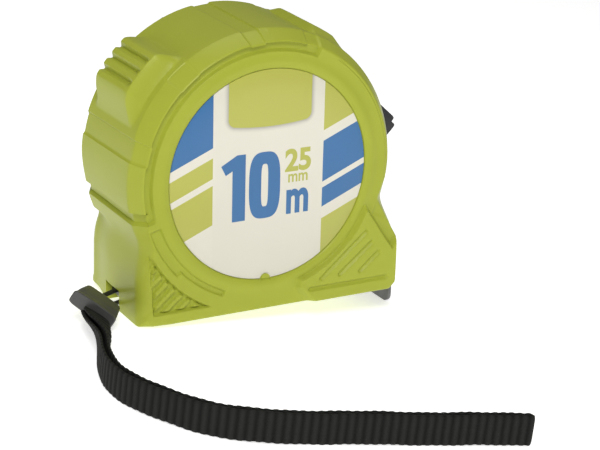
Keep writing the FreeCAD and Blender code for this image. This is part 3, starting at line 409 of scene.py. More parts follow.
def brushed(name, base, shade, roughness, along, metallic=1.0):
    """Metal with fine lines that run along one axis."""
    nodes = Nodes(name)
    vector, _ = nodes.place()
    stretch = nodes.add("ShaderNodeMapping")
    nodes.feed(stretch.inputs["Vector"], vector)
    stretch.inputs["Scale"].default_value = tuple(0.12 if axis == along else 6.0 for axis in "xyz")
    lines = nodes.noise(stretch.outputs[0], 1.0, 3.0)
    cloud = nodes.noise(vector, 0.25, 3.0)
    nodes.set(Base_Color=nodes.mix(cloud, shade, base), Metallic=metallic,
              Roughness=nodes.math("MULTIPLY_ADD", lines, 0.22, roughness - 0.11))
    nodes.bump(lines, 0.25, 0.02)
    return nodes.material


def case_material():
    """Satin moulded plastic: even colour, fine spark texture and faint flow marks."""
    tape = settings()
    return speckled("moulded_case", tuple(tape.case), tuple(tape.case_dark), 0.34, 0.08, 3.2, 0.10,
                    distance=0.04, specular=0.17)


def paint(piece, material):
    """Makes a material the piece's only one."""
    piece.data.materials.clear()
    piece.data.materials.append(material)


def paint_node(node, material):
    """Gives a frame node's own slots a material."""
    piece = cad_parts[node]
    if not piece.material_slots:
        piece.data.materials.append(material)
    for slot in piece.material_slots:
        slot.material = material


# ---------------------------------------------------------------- case shape

# The feet's sloping walls, as outward normals (x, z), the points where they meet the upright walls, and the
# point that the front foot's bevelled toe goes through.
SLOPE_REAR = (-5.5, 1.5)
SLOPE_FRONT = (10.6, 4.0)
REAR_SHOULDER = (-REAR, 17.3)
FRONT_SHOULDER = (FRONT, 17.6)
TOE = (FRONT - 2.8, 0.0)

# How the sides' edges are broken round the case: angle, width inwards, depth along Y, and 0 flat to 1 round.
EDGE = np.array([
    (-90, 1.0, 1.0, 1.0), (-46, 1.1, 1.1, 1.0), (-34, 1.1, 1.2, 0.9), (-29.6, 1.1, 1.3, 0.9),
    (-27.6, 2.2, 3.2, 0.2), (-18, 4.2, 5.2, 0.05), (-8, 3.2, 5.2, 0.05), (0, 3.0, 5.2, 0.05),
    (196, 3.0, 5.2, 0.05), (205, 3.6, 5.2, 0.4), (210, 5.6, 5.0, 1.0), (224, 6.6, 5.0, 1.0),
    (228.5, 1.9, 1.9, 1.0), (233, 1.1, 1.1, 1.0), (270, 1.0, 1.0, 1.0)])

# Features along the rim, as angles: the plate and its sunk ends, the sunk bands, and the feet of the
# thumb pad and of the front grip with their tops between.
PLATE = (66.5, 194.5)
PLATE_ENDS = ((66.5, 73.0), (190.0, 194.5))
PLATE_ENDS_DEEP = (0.25, 1.2)
BANDS = ((93.0, 100.0), (161.0, 169.5))
BANDS_DEEP = 0.5
PAD = (124.0, 131.0, 146.5, 157.5)
GRIP = (47.0, 55.0, 65.9, 67.1)
# Half width along Y where the pad and the grip end, and the length of their sloping sides.
PAD_SIDE, GRIP_SIDE = (13.6, 3.0), (15.6, 5.5)
# The thumb pad's grooves: angles, half width in degrees, depth, and where they start and end along Y.
PAD_GROOVES = (134.0, 138.7, 143.4)
PAD_GROOVE_HALF, PAD_GROOVE_DEEP, PAD_GROOVE_FROM, PAD_GROOVE_TO = 1.5, 1.35, -10.2, 12.0
# The rear foot draws in towards the clip side: depth, and the angles between which it does.
TUCK_DEEP, TUCK = 1.7, (203, 231)
# The rim's draft towards the clip side: at the level of the axis, and what is added at the top.
DRAFT, DRAFT_TOP = 0.75, 0.35
# The edge steps in under the thumb pad: depth and angles.
NOTCH_DEEP, NOTCH = 0.3, (125, 135)

# Features on the label side. The channel inside the plate is its inner and outer radius and its depth.
CHANNEL = (38.1, 40.35, 1.3)
SIDE_ENDS_DEEP = 1.2
LIP_RADIUS, LIP_SPREAD, SEAT_GROOVE_SPREAD = 34.6, 1.9, 0.22
# The sunk sweep over the rear foot: angles, then inner and outer radius, of its short and its long part.
SWEEPS = (((198.5, 222.5), (37.2, 40.6)), ((199.0, 247.5), (37.2, 38.9)))
SWEEP_DEEP = 0.7
# A shallow step in the outer ring from the front foot up to the grip: depth, inner radius and angles.
CREASE_DEEP, CREASE_FROM, CREASES = 0.22, 39.6, ((335, 420), (-25, 56))
# The tab that covers the foot of the label's edge: angle and radius.
TAB_ANGLE, TAB_RADIUS = 268.6, 1.7

# The ribbed hollow on the rear foot: its slanting side, lowest height, greatest radius and depth, and the
# ribs' slant in degrees, their distance apart and their height.
HOLLOW_SIDE = ((15.0, 0.9), (-38.6, 18.6))
HOLLOW_LOW, HOLLOW_RADIUS, HOLLOW_DEEP = 3.6, 43.0, 1.2
RIB_SLANT, RIB_APART, RIB_TALL = 40, 3.15, 0.95

# The panel on the front foot: its inner radius and bevel, its straight sides as normal, point and bevel, the
# upright strip at its front in the same form with where the strip starts, and the gap and bevel at its front.
PANEL_RADIUS, PANEL_RADIUS_BEVEL = 35.6, 0.9
PANEL_SIDES = (((5.1, 5.0), (14.0, 0.0), 1.9), ((1.0, -0.16), (9.4, 5.1), 1.3),
               ((-14.5, -9.8), (33.1, 29.4), 1.0))
PANEL_STRIP, PANEL_STRIP_FROM = ((2.6, -1.9), (42.9, 14.8), 0.9), 40.0
PANEL_GAP, PANEL_GAP_BEVEL = 0.45, 0.7
PANEL_GROOVE_HALF, PANEL_GROOVE_DEEP = 0.95, 0.75
PANEL_GROOVES = [((33.0, 20.5), (17.9, 7.6)), ((35.3, 16.9), (24.3, 8.0)), ((37.7, 13.3), (31.5, 8.0)),
                 ((14.1, 4.6), (41.0, 4.6))]

# Screws of the clip side, as x and z: two on a ring outside the coil, and one in each foot.
SCREW_RING = COIL_HIGH.x + 1.5 + 2.45
SCREWS = [(SCREW_RING * math.cos(turn), AXLE + SCREW_RING * math.sin(turn))
          for turn in (math.radians(50), math.radians(112))]
SCREWS += [(-REAR + 5.2, 12.7), (FRONT - 7.0, 18.5)]
SINK_RADIUS, SINK_DEEP = 2.35, 3.2

# Walls: the rim's thickness from the outline and from the ring, and the sides' thickness.
RIM_WALL, RING_WALL, SIDE_WALL = 2.3, 3.4, 2.4
# Stations along Y down the rim, close together where the pad and the grip turn.
RIM_STATIONS = np.concatenate([
    np.linspace(-15.8, -13.9, 3), np.linspace(-13.4, -10.2, 8), np.linspace(-8.5, 8.5, 6),
    np.linspace(10.2, 13.4, 8), np.linspace(14.2, SPLIT - 0.05, 3)])
SIDE_ROWS, CLIP_SIDE_ROWS, CLIP_SIDE_COLUMNS = 80, 16, 520


def wall(turn, normal, through):
    """Distance from the axis, at each angle, to the straight wall with a normal through a point."""
    nx, nz = np.array(normal) / math.hypot(*normal)
    offset = nx * through[0] + nz * (through[1] - AXLE)
    facing = nx * np.cos(turn) + nz * np.sin(turn)
    return np.where(facing > 0.02, offset / np.maximum(facing, 0.02), 400.0)


def outline(turn):
    """Radius of the case's outline at each angle: the round top, two feet below it, and the flat base."""
    low = np.sin(turn) < 0
    rear = soft_min(wall(turn, (-1, 0), REAR_SHOULDER), wall(turn, SLOPE_REAR, REAR_SHOULDER), 1.6)
    front = soft_min(wall(turn, (1, 0), FRONT_SHOULDER), wall(turn, SLOPE_FRONT, FRONT_SHOULDER), 1.0)
    front = soft_min(front, wall(turn, (1, -1), TOE), 1.0)
    radius = np.full_like(turn, RING)
    radius = np.where(low & (np.cos(turn) < 0), soft_max(radius, rear, 2.4), radius)
    radius = np.where(low & (np.cos(turn) > 0), soft_max(radius, front, 1.8), radius)
    return soft_min(radius, wall(turn, (0, -1), (0, 0)), 0.7)


def segment_distance(x, z, start, end):
    """Distance to the nearest point of a straight segment."""
    (x0, z0), (x1, z1) = start, end
    along = np.clip(((x - x0) * (x1 - x0) + (z - z0) * (z1 - z0)) / ((x1 - x0) ** 2 + (z1 - z0) ** 2), 0, 1)
    return np.hypot(x - x0 - along * (x1 - x0), z - z0 - along * (z1 - z0))


def line_distance(x, z, normal, through):
    """Signed distance to a line, positive on the side that the normal points to."""
    nx, nz = np.array(normal) / math.hypot(*normal)
    return nx * (x - through[0]) + nz * (z - through[1])


def panel_height(x, z, r):
    """The raised panel on the front foot. The distance inside its nearest side, as a share of that side's
    bevel, goes through a ramp; three slanting grooves and a level one are taken out."""
    sides = [line_distance(x, z, normal, point) / bevel for normal, point, bevel in PANEL_SIDES]
    body = np.minimum.reduce([(r - PANEL_RADIUS) / PANEL_RADIUS_BEVEL, *sides])
    normal, point, bevel = PANEL_STRIP
    strip = np.minimum(line_distance(x, z, normal, point), x - PANEL_STRIP_FROM) / bevel
    inside = np.minimum(np.maximum(body, strip), (FRONT - PANEL_GAP - x) / PANEL_GAP_BEVEL)
    height = PANEL_PROUD * ramp(inside)
    for start, end in PANEL_GROOVES:
        within = (PANEL_GROOVE_HALF - segment_distance(x, z, start, end)) / PANEL_GROOVE_DEEP
        height = height - PANEL_GROOVE_DEEP * step(within) * (inside > 0)
    return height


def ribbed_hollow(x, z, r):
    """The sunk triangle on the rear foot: a smooth step down inside its three sides, and slanting ribs in it
    that follow a cosine across their slant."""
    side = line_distance(x, z, *HOLLOW_SIDE)
    inside = step(np.minimum.reduce([side, z - HOLLOW_LOW, r - HOLLOW_RADIUS]) / 0.6)
    across = -x * math.sin(math.radians(RIB_SLANT)) + z * math.cos(math.radians(RIB_SLANT))
    ridge = step(0.5 + 0.95 * np.cos(2 * np.pi * across / RIB_APART))
    reach = step(np.minimum.reduce([side - 0.5, z - HOLLOW_LOW - 0.6, r - HOLLOW_RADIUS - 0.6]) / 0.5)
    return (x < 0) * inside * (-HOLLOW_DEEP + RIB_TALL * ridge * reach)


def seat_lip(r, rise, groove):
    """A low ring round the label's seat, as a bell curve, less a narrow groove that fades outwards."""
    ring = rise * np.exp(-((r - LIP_RADIUS) / LIP_SPREAD) ** 2)
    return ring - groove * np.exp(-np.maximum(r - SEAT_RADIUS, 0) / SEAT_GROOVE_SPREAD)


def side_relief(x, z, r, degrees):
    """How far the label side stands out from its flat, over the ring and both feet: the sum of the lip, the
    tab, the channel, the sweep, the crease and the ribbed hollow."""
    lip = seat_lip(r, 0.5, 0.4)
    tab = 0.5 * step((SEAT_RADIUS - r) / 0.3)
    inner, outer, deep = CHANNEL
    across = step((r - inner) / 0.9 + 0.6) * step((outer - r) / 0.3 + 0.5)
    channel = deep * window(degrees, *PLATE, 0.7) * across
    ends = sum(window(degrees, *end, 0.8) for end in PLATE_ENDS) * SIDE_ENDS_DEEP * step((r - inner) / 0.6)
    sweep = SWEEP_DEEP * np.maximum.reduce(
        [window(degrees, *angles, 0.8) * window(r, *radii, 0.5) for angles, radii in SWEEPS])
    crease = np.minimum(sum(CREASE_DEEP * window(degrees, *angles, 2.0) for angles in CREASES), CREASE_DEEP)
    crease = crease * step((r - CREASE_FROM) / 0.5)
    return lip + tab - np.maximum(channel, ends) - sweep - crease + ribbed_hollow(x, z, r)


def block(degrees, low, top, down, foot):
    """Height of a raised block along the rim, from 0 to 1: straight ramps up and down with a level top."""
    return np.minimum(ramp((degrees - low) / (top - low)), ramp((foot - degrees) / (foot - down)))


def block_side(y, half, slope):
    """The same block across the rim: level in the middle, and a ramp down to 0 at half its width."""
    return ramp((half - np.abs(y)) / slope)


def rim_relief(degrees, y):
    """How far the rim stands in or out from the outline: blocks for the thumb pad and the grip, less grooves,
    plate ends and bands, with the draft towards the clip side."""
    ends = sum(deep * window(degrees, *end, 0.8) for end, deep in zip(PLATE_ENDS, PLATE_ENDS_DEEP))
    bands = BANDS_DEEP * sum(window(degrees, *band, 0.5) for band in BANDS)
    grooves = sum(step(1.0 - np.abs(degrees - centre) / PAD_GROOVE_HALF) for centre in PAD_GROOVES)
    grooves = grooves * step((y - PAD_GROOVE_FROM) / 0.7) * step((PAD_GROOVE_TO - y) / 0.8)
    pad = size("pad_rise") * block(degrees, *PAD) * block_side(y, *PAD_SIDE) - PAD_GROOVE_DEEP * grooves
    grip = size("grip_rise") * block(degrees, *GRIP) * block_side(y, *GRIP_SIDE)
    tuck = TUCK_DEEP * step((y - 2) / 14) * window(degrees, *TUCK, 4)
    up = np.sin(np.radians(degrees))
    draft = np.clip((y + SPLIT) / (2 * SPLIT), 0, 1) * (DRAFT + DRAFT_TOP * up) * step(up / 0.3 + 0.6)
    return pad + grip - tuck + draft - ends - bands


def edge_profile(roundness):
    """Rows down the broken edge, as fractions of its width and depth: a mix of a flat with two small rounds,
    which are quadratic curves between three points, and a quarter circle."""
    ease, parts = 0.13, np.linspace(0, 1, 6)[:, None]

    def corner(first, middle, last):
        """A quadratic curve from the first point to the last, pulled towards the middle one."""
        first, middle, last = (np.array(point) for point in (first, middle, last))
        return (1 - parts) ** 2 * first + 2 * parts * (1 - parts) * middle + parts ** 2 * last

    flat = np.vstack([corner((-ease, 0), (0, 0), (ease, ease)), [[0.37, 0.37], [0.63, 0.63]],
                      corner((1 - ease, 1 - ease), (1, 1), (1, 1 + ease))])
    quarter = np.linspace(0, np.pi / 2, len(flat))
    arc = np.stack([np.sin(quarter), 1 - np.cos(quarter)], axis=-1)
    return (1 - roundness) * flat[:, None, :] + roundness * arc[:, None, :]


def case_columns(count):
    """Angles round the case, evenly spaced along its outline."""
    fine = np.linspace(-np.pi / 2, 1.5 * np.pi, 8001)
    radius = outline(fine)
    length = np.concatenate([[0], np.cumsum(np.hypot(np.diff(radius), radius[1:] * np.diff(fine)))])
    return np.interp(np.linspace(0, length[-1], count, endpoint=False), length, fine)


def side_rows(turn, relief, rows):
    """Rows from the label's seat over the side and down the broken edge: their radius, how far down the edge
    they are, and how much of the side's relief is left. Relief is 1 for a seat with the half-round tab, and
    0 without."""
    degrees = np.degrees(turn)
    radius = outline(turn)
    width, depth, roundness = (np.interp(degrees, EDGE[:, 0], EDGE[:, k]) for k in (1, 2, 3))
    tab = SEAT_RADIUS * np.radians((degrees - TAB_ANGLE + 180) % 360 - 180)
    seat = SEAT_RADIUS - relief * np.sqrt(np.maximum(TAB_RADIUS ** 2 - tab ** 2, 0))
    profile = edge_profile(roundness[None, :, None])
    start = radius + width * (profile[0, :, 0] - 1)
    share = np.linspace(0, 1, rows)[:, None] ** 1.05
    face_r = seat + (start - seat) * share
    edge_r = radius + width * (profile[..., 0] - 1)
    r = np.vstack([face_r, edge_r[1:]])
    down = np.vstack([np.zeros_like(face_r), depth * profile[1:, :, 1]])
    fade = np.vstack([np.ones_like(face_r), np.repeat(1 - np.linspace(0, 1, len(profile))[1:, None],
                                                     len(turn), axis=1)])
    return degrees, radius, seat, r, down, fade


def xyz(r, turn, y):
    """Points from their radius and angle round the axis and their place along it."""
    return np.stack([r * np.cos(turn), y, AXLE + r * np.sin(turn)], axis=-1)


def level_row(r, turn, y):
    """One row of points, all at the same place along the axis."""
    return xyz(r, turn, np.full_like(turn, y))[None]


def inner_wall(radius):
    """Radius of the inner wall: inside the outline, and never outside the ring's own wall."""
    return np.minimum(radius - RIM_WALL, RING - RING_WALL)


def front_half():
    """The deep label-side half. Each column runs from the label's seat over the side, the edge and the rim,
    round the open lip and back along the inner wall; radius follows the outline at that angle."""
    turn = case_columns(settings().case_columns)
    degrees, radius, seat, r, down, fade = side_rows(turn, 1.0, SIDE_ROWS)
    x, z = r * np.cos(turn), AXLE + r * np.sin(turn)
    relief = side_relief(x, z, r, degrees)
    on_edge = (down > 0) | (r > radius - 3.05)
    shift = rim_relief(degrees, np.full_like(degrees, -SPLIT))
    notch = NOTCH_DEEP * window(degrees, *NOTCH, 0.5) * (on_edge & (fade > 0.05))
    y = -(FACE + relief * fade + panel_height(x, z, r)) + down
    side = xyz(r + shift * on_edge * (r > 38.5) - notch, turn, y)
    start, end = y[-1], RIM_STATIONS[-1]
    share = ((RIM_STATIONS - RIM_STATIONS[0]) / (end - RIM_STATIONS[0]))[1:, None]
    rim_y = start + (end - start) * share
    rim = xyz(radius + rim_relief(degrees, rim_y), turn, rim_y)
    inner, back = inner_wall(radius), -FACE + SIDE_WALL
    grid = np.concatenate([
        level_row(seat * 0.5, turn, -LABEL_SEAT), level_row(seat, turn, -LABEL_SEAT), side, rim,
        level_row(inner, turn, end), level_row(inner, turn, back), level_row(inner * 0.5, turn, back)])
    return mesh_piece("case_front_half", *closed_rows(grid, (0, -LABEL_SEAT, AXLE), (0, back, AXLE)))


def rear_half():
    """The shallow clip-side half: a plain side with a round seat, the same outline and the same edge."""
    turn = case_columns(CLIP_SIDE_COLUMNS)
    degrees, radius, seat, r, down, fade = side_rows(turn, 0.0, CLIP_SIDE_ROWS)
    y = np.maximum(FACE + np.minimum(seat_lip(r, 0.4, 0.35), 0) * fade - down, SPLIT + 0.02)
    lift = rim_relief(degrees, np.full_like(degrees, SPLIT))
    shift = lift * step((r - SEAT_RADIUS - 3) / 5)
    inner, floor, back = inner_wall(radius), FACE - 0.6, FACE - SIDE_WALL
    grid = np.concatenate([
        level_row(seat * 0.5, turn, floor), level_row(seat, turn, floor), xyz(r + shift, turn, y),
        level_row(radius + lift, turn, SPLIT), level_row(inner, turn, SPLIT), level_row(inner, turn, back),
        level_row(inner * 0.5, turn, back)])
    piece = mesh_piece("case_rear_half", *closed_rows(grid, (0, floor, AXLE), (0, back, AXLE)))
    return cut_out(piece, [drill_piece(f"sink_{i}", x, z, SINK_RADIUS, FACE - SINK_DEEP, FACE + 3)
                           for i, (x, z) in enumerate(SCREWS)])


class TAPE_OT_case(bpy.types.Operator):
    """Case halves with their relief, thumb pad and openings"""
    bl_idname = "tape.case"
    bl_label = "Case"

    def execute(self, context):
        material = case_material()
        mouth = HOOK_HIGH.y + 0.8
        front = cut_out(front_half(), [
            box_piece("mouth", (5, -mouth, 2.3), (FRONT - 3.4, mouth, 9)),
            box_piece("mouth_front", (FRONT - 3.5, -mouth, -1), (FRONT + 5, mouth, 9)),
            box_piece("lock_slot", (RING - 6, -8, 39.1), (RING + 6, 8, 54.9)),
            box_piece("strap_slot", (-REAR - 5, -5.35, -1), (-REAR + 8.2, 5.35, 6.6))])
        rear = rear_half()
        for piece, node in ((front, "case_shell"), (rear, "case_cover")):
            paint(piece, material)
            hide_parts(node)
            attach(piece, "root")
        return {"FINISHED"}


# ---------------------------------------------------------------- printed label

# Printed bands: the slope of their edges, the height that the colour ramp starts at and its span, the lower
# edge of each band, as its height at x = 0, with its ink, and where the bands of each side end.
STRIPE_SLOPE = 0.428
RAMP_FROM, RAMP_SPAN = 10.0, 60.0
LEFT_BANDS = [(10.0, "label_white"), (37.2, "label_green"), (49.5, "label_white"), (51.6, "label_green"),
              (57.9, "label_white"), (60.9, "label_blue")]
RIGHT_BANDS = [(10.0, "label_green"), (18.6, "label_white"), (22.3, "label_blue"), (28.4, "label_white"),
               (30.3, "label_blue"), (43.2, "label_white"), (46.5, "label_green")]
BAND_EDGES = (-18.6, 18.1)
# The plain tab at the top: half width, lowest height, corner radius, bow, and its soft shadow's width.
TAB_HALF, TAB_LOW, TAB_CORNER, TAB_BOW, TAB_SHADOW = 13.7, 57.7, 2.0, 0.006, 1.7
# The slow shade towards the label's top and bottom: its middle height, what it leaves clear, and its span.
SHADE_MIDDLE, SHADE_CLEAR, SHADE_SPAN = 50.0, 6.0, 40.0
# The numeral one's outline as x and z, and each print's place as its lowest and highest x and z.
ONE = [(-15.9, 47.1), (-10.7, 50.0), (-7.9, 50.0), (-7.9, 29.4), (-12.2, 29.4), (-12.2, 45.3), (-14.4, 44.1)]
PRINT = {"1": (-15.9, -7.9, 29.4, 50.0), "0": (-6.7, 3.7, 29.3, 50.0), "m": (5.9, 13.4, 29.5, 37.2),
         "25": (5.2, 14.0, 42.7, 49.9), "mm": (6.4, 13.0, 39.4, 42.0)}


def label_material():
    """Printed film: slanting bands at both sides, a plain tab at the top with a soft shadow, and a slow shade
    towards the top and bottom."""
    tape = settings()
    nodes = Nodes("printed_film")
    vector, (x, _, z) = nodes.place()
    skew = nodes.math("SUBTRACT", z, nodes.math("MULTIPLY", x, STRIPE_SLOPE))
    fraction = nodes.math("DIVIDE", nodes.math("SUBTRACT", skew, RAMP_FROM), RAMP_SPAN)

    def bands(stops):
        """The ink at each height: a colour ramp without blending."""
        node = nodes.add("ShaderNodeValToRGB")
        node.color_ramp.interpolation = "CONSTANT"
        elements = node.color_ramp.elements
        elements.remove(elements[1])
        for i, (height, ink) in enumerate(stops):
            place = (height - RAMP_FROM) / RAMP_SPAN
            element = elements[0] if i == 0 else elements.new(place)
            element.position = place
            element.color = (*getattr(tape, ink), 1.0)
        nodes.feed(node.inputs[0], fraction)
        return node.outputs[0]

    white = nodes.mix(nodes.noise(vector, 0.05, 1.0), tuple(tape.label_white),
                      tuple(c * 0.97 for c in tape.label_white))
    from_middle = nodes.math("ABSOLUTE", nodes.math("SUBTRACT", z, SHADE_MIDDLE))
    away = nodes.math("DIVIDE", nodes.math("SUBTRACT", from_middle, SHADE_CLEAR), SHADE_SPAN, clamp=True)
    colour = nodes.mix(nodes.math("LESS_THAN", x, BAND_EDGES[0]), white, bands(LEFT_BANDS))
    colour = nodes.mix(nodes.math("GREATER_THAN", x, BAND_EDGES[1]), colour, bands(RIGHT_BANDS))
    # Signed distance to the tab: a rounded box whose lower edge is slightly bowed.
    bow = nodes.math("MULTIPLY", nodes.math("MULTIPLY", x, x), TAB_BOW)
    across = nodes.math("SUBTRACT", nodes.math("ABSOLUTE", x), TAB_HALF - TAB_CORNER)
    below = nodes.math("SUBTRACT", nodes.math("ADD", bow, TAB_LOW + TAB_CORNER), z)
    outer = nodes.math("SQRT", nodes.math("ADD", nodes.math("POWER", nodes.math("MAXIMUM", across, 0.0), 2.0),
                                          nodes.math("POWER", nodes.math("MAXIMUM", below, 0.0), 2.0)))
    inner = nodes.math("MINIMUM", nodes.math("MAXIMUM", across, below), 0.0)
    distance = nodes.math("SUBTRACT", nodes.math("ADD", outer, inner), TAB_CORNER)
    shade = nodes.math("SUBTRACT", 1.0, nodes.math("DIVIDE", distance, TAB_SHADOW), clamp=True)
    shade = nodes.math("MULTIPLY", nodes.math("POWER", shade, 1.8), 0.62)
    colour = nodes.mix(shade, colour, tuple(c * 0.25 for c in tape.label_white))
    colour = nodes.mix(nodes.math("LESS_THAN", distance, 0.0), colour, tuple(tape.label_green))
    colour = nodes.mix(nodes.math("MULTIPLY", away, 0.22), colour, (0.5, 0.5, 0.5), blend="MULTIPLY")
    fine = nodes.noise(vector, 2.0, 2.0)
    nodes.set(Base_Color=colour, Roughness=nodes.math("MULTIPLY_ADD", fine, 0.08, 0.30),
              Coat_Weight=0.25, Coat_Roughness=0.22)
    nodes.bump(fine, 0.05, 0.03)
    return nodes.material


def ink_material(name, ink):
    """Printed ink with a slight gloss."""
    return speckled(name, tuple(ink), tuple(c * 0.94 for c in ink), 0.32, 0.06, 2.5, 0.04, coat=0.2)


def label_disc():
    """A thin disc with a softened rim: circles of points from the centre to the edge and down to the seat."""
    turn = full_turn(240)
    section = [(10.0, LABEL_FACE), (24.0, LABEL_FACE), (LABEL_RADIUS - 0.15, LABEL_FACE),
               (LABEL_RADIUS - 0.04, LABEL_FACE - 0.04), (LABEL_RADIUS, LABEL_FACE - 0.12),
               (LABEL_RADIUS, LABEL_SEAT)]
    rows = np.stack([xyz(r, turn, np.full_like(turn, -y)) for r, y in section])
    return mesh_piece("printed_label", *closed_rows(rows, (0, -LABEL_FACE, AXLE), (0, -LABEL_SEAT, AXLE)))


def powered(value, power):
    """A power of a value's size, with the value's sign."""
    return np.sign(value) * np.abs(value) ** power


def oval(x, z, half_wide, half_high, power):
    """A closed outline between an ellipse and a rectangle: its cosine and sine are raised to a power."""
    turn = full_turn(72)
    return np.stack([x + half_wide * powered(np.cos(turn), power),
                     z + half_high * powered(np.sin(turn), power)], axis=-1)


def drawn_outline(name, outlines):
    """A flat curve filled between closed outlines."""
    curve = bpy.data.curves.new(name, "CURVE")
    curve.dimensions, curve.fill_mode, curve.extrude = "2D", "BOTH", 0.01
    for outline_points in outlines:
        spline = curve.splines.new("POLY")
        spline.points.add(len(outline_points) - 1)
        for target, (x, z) in zip(spline.points, outline_points):
            target.co = (x, z, 0.0, 1.0)
        spline.use_cyclic_u = True
    return curve


def drawn_text(name, text, weight):
    """Plain lettering, made bolder by weight."""
    curve = bpy.data.curves.new(name, "FONT")
    curve.body, curve.offset, curve.extrude = text, weight, 0.01
    return curve


def number_piece(name, curve, place, material):
    """A raised-ink number: a flat outline made a mesh and fitted to its place on the label."""
    source = link(curve, name + "_source")
    mesh = evaluated_mesh(source)
    bpy.data.objects.remove(source)
    flat = np.empty(len(mesh.vertices) * 3)
    mesh.vertices.foreach_get("co", flat)
    flat = flat.reshape(-1, 3)
    low, high = flat.min(0), flat.max(0)
    unit = (flat - low) / (high - low)
    x0, x1, z0, z1 = place
    points = np.stack([x0 + (x1 - x0) * unit[:, 0], -(LABEL_FACE - 0.02 + 0.05 * unit[:, 2]),
                       z0 + (z1 - z0) * unit[:, 1]], axis=-1)
    mesh.vertices.foreach_set("co", (points * MM).ravel())
    mesh.name = name
    piece = link(mesh, name)
    mesh.update()
    paint(piece, material)
    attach(piece, "root")


class TAPE_OT_label(bpy.types.Operator):
    """Printed label with its bands and size numbers"""
    bl_idname = "tape.label"
    bl_label = "Label"

    def execute(self, context):
        tape = settings()
        disc = label_disc()
        paint(disc, label_material())
        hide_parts("front_label")
        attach(disc, "root")
        blue = ink_material("blue_ink", tape.label_blue)
        green = ink_material("green_ink", tape.label_green)
        one = drawn_outline("one", [ONE])
        zero = drawn_outline("zero", [oval(0, 0, 5.2, 10.3, 0.62), oval(0, 0, 1.15, 6.6, 0.5)])
        number_piece("length_one", one, PRINT["1"], blue)
        number_piece("length_zero", zero, PRINT["0"], blue)
        number_piece("length_unit", drawn_text("unit", "m", 0.035), PRINT["m"], blue)
        number_piece("width_number", drawn_text("width", "25", 0.035), PRINT["25"], green)
        number_piece("width_unit", drawn_text("width_unit", "mm", 0.018), PRINT["mm"], green)
        return {"FINISHED"}


# ---------------------------------------------------------------- wrist strap

def smooth_curve(name, points, per_span):
    """A smooth open curve whose control points are given in millimetres."""
    curve = bpy.data.curves.new(name, "CURVE")
    curve.dimensions = "3D"
    spline = curve.splines.new("NURBS")
    spline.points.add(len(points) - 1)
    for target, point in zip(spline.points, points):
        target.co = (*(Vector(point) * MM), 1.0)
    spline.order_u = 3
    spline.use_endpoint_u = True
    spline.resolution_u = per_span
    return curve


def spline_points(name, points, per_span):
    """Points along the smooth curve with the given control points, read from its own mesh."""
    source = link(smooth_curve(name, points, per_span), name)
    mesh = evaluated_mesh(source)
    found = np.empty(len(mesh.vertices) * 3)
    mesh.vertices.foreach_get("co", found)
    bpy.data.objects.remove(source)
    return found.reshape(-1, 3) / MM


def unit_rows(vectors):
    """Vectors scaled to a length of 1."""
    return vectors / np.linalg.norm(vectors, axis=-1, keepdims=True)


def travelled(path):
    """Distance along a path at each of its points."""
    return np.concatenate([[0], np.cumsum(np.linalg.norm(np.diff(path, axis=0), axis=1))])


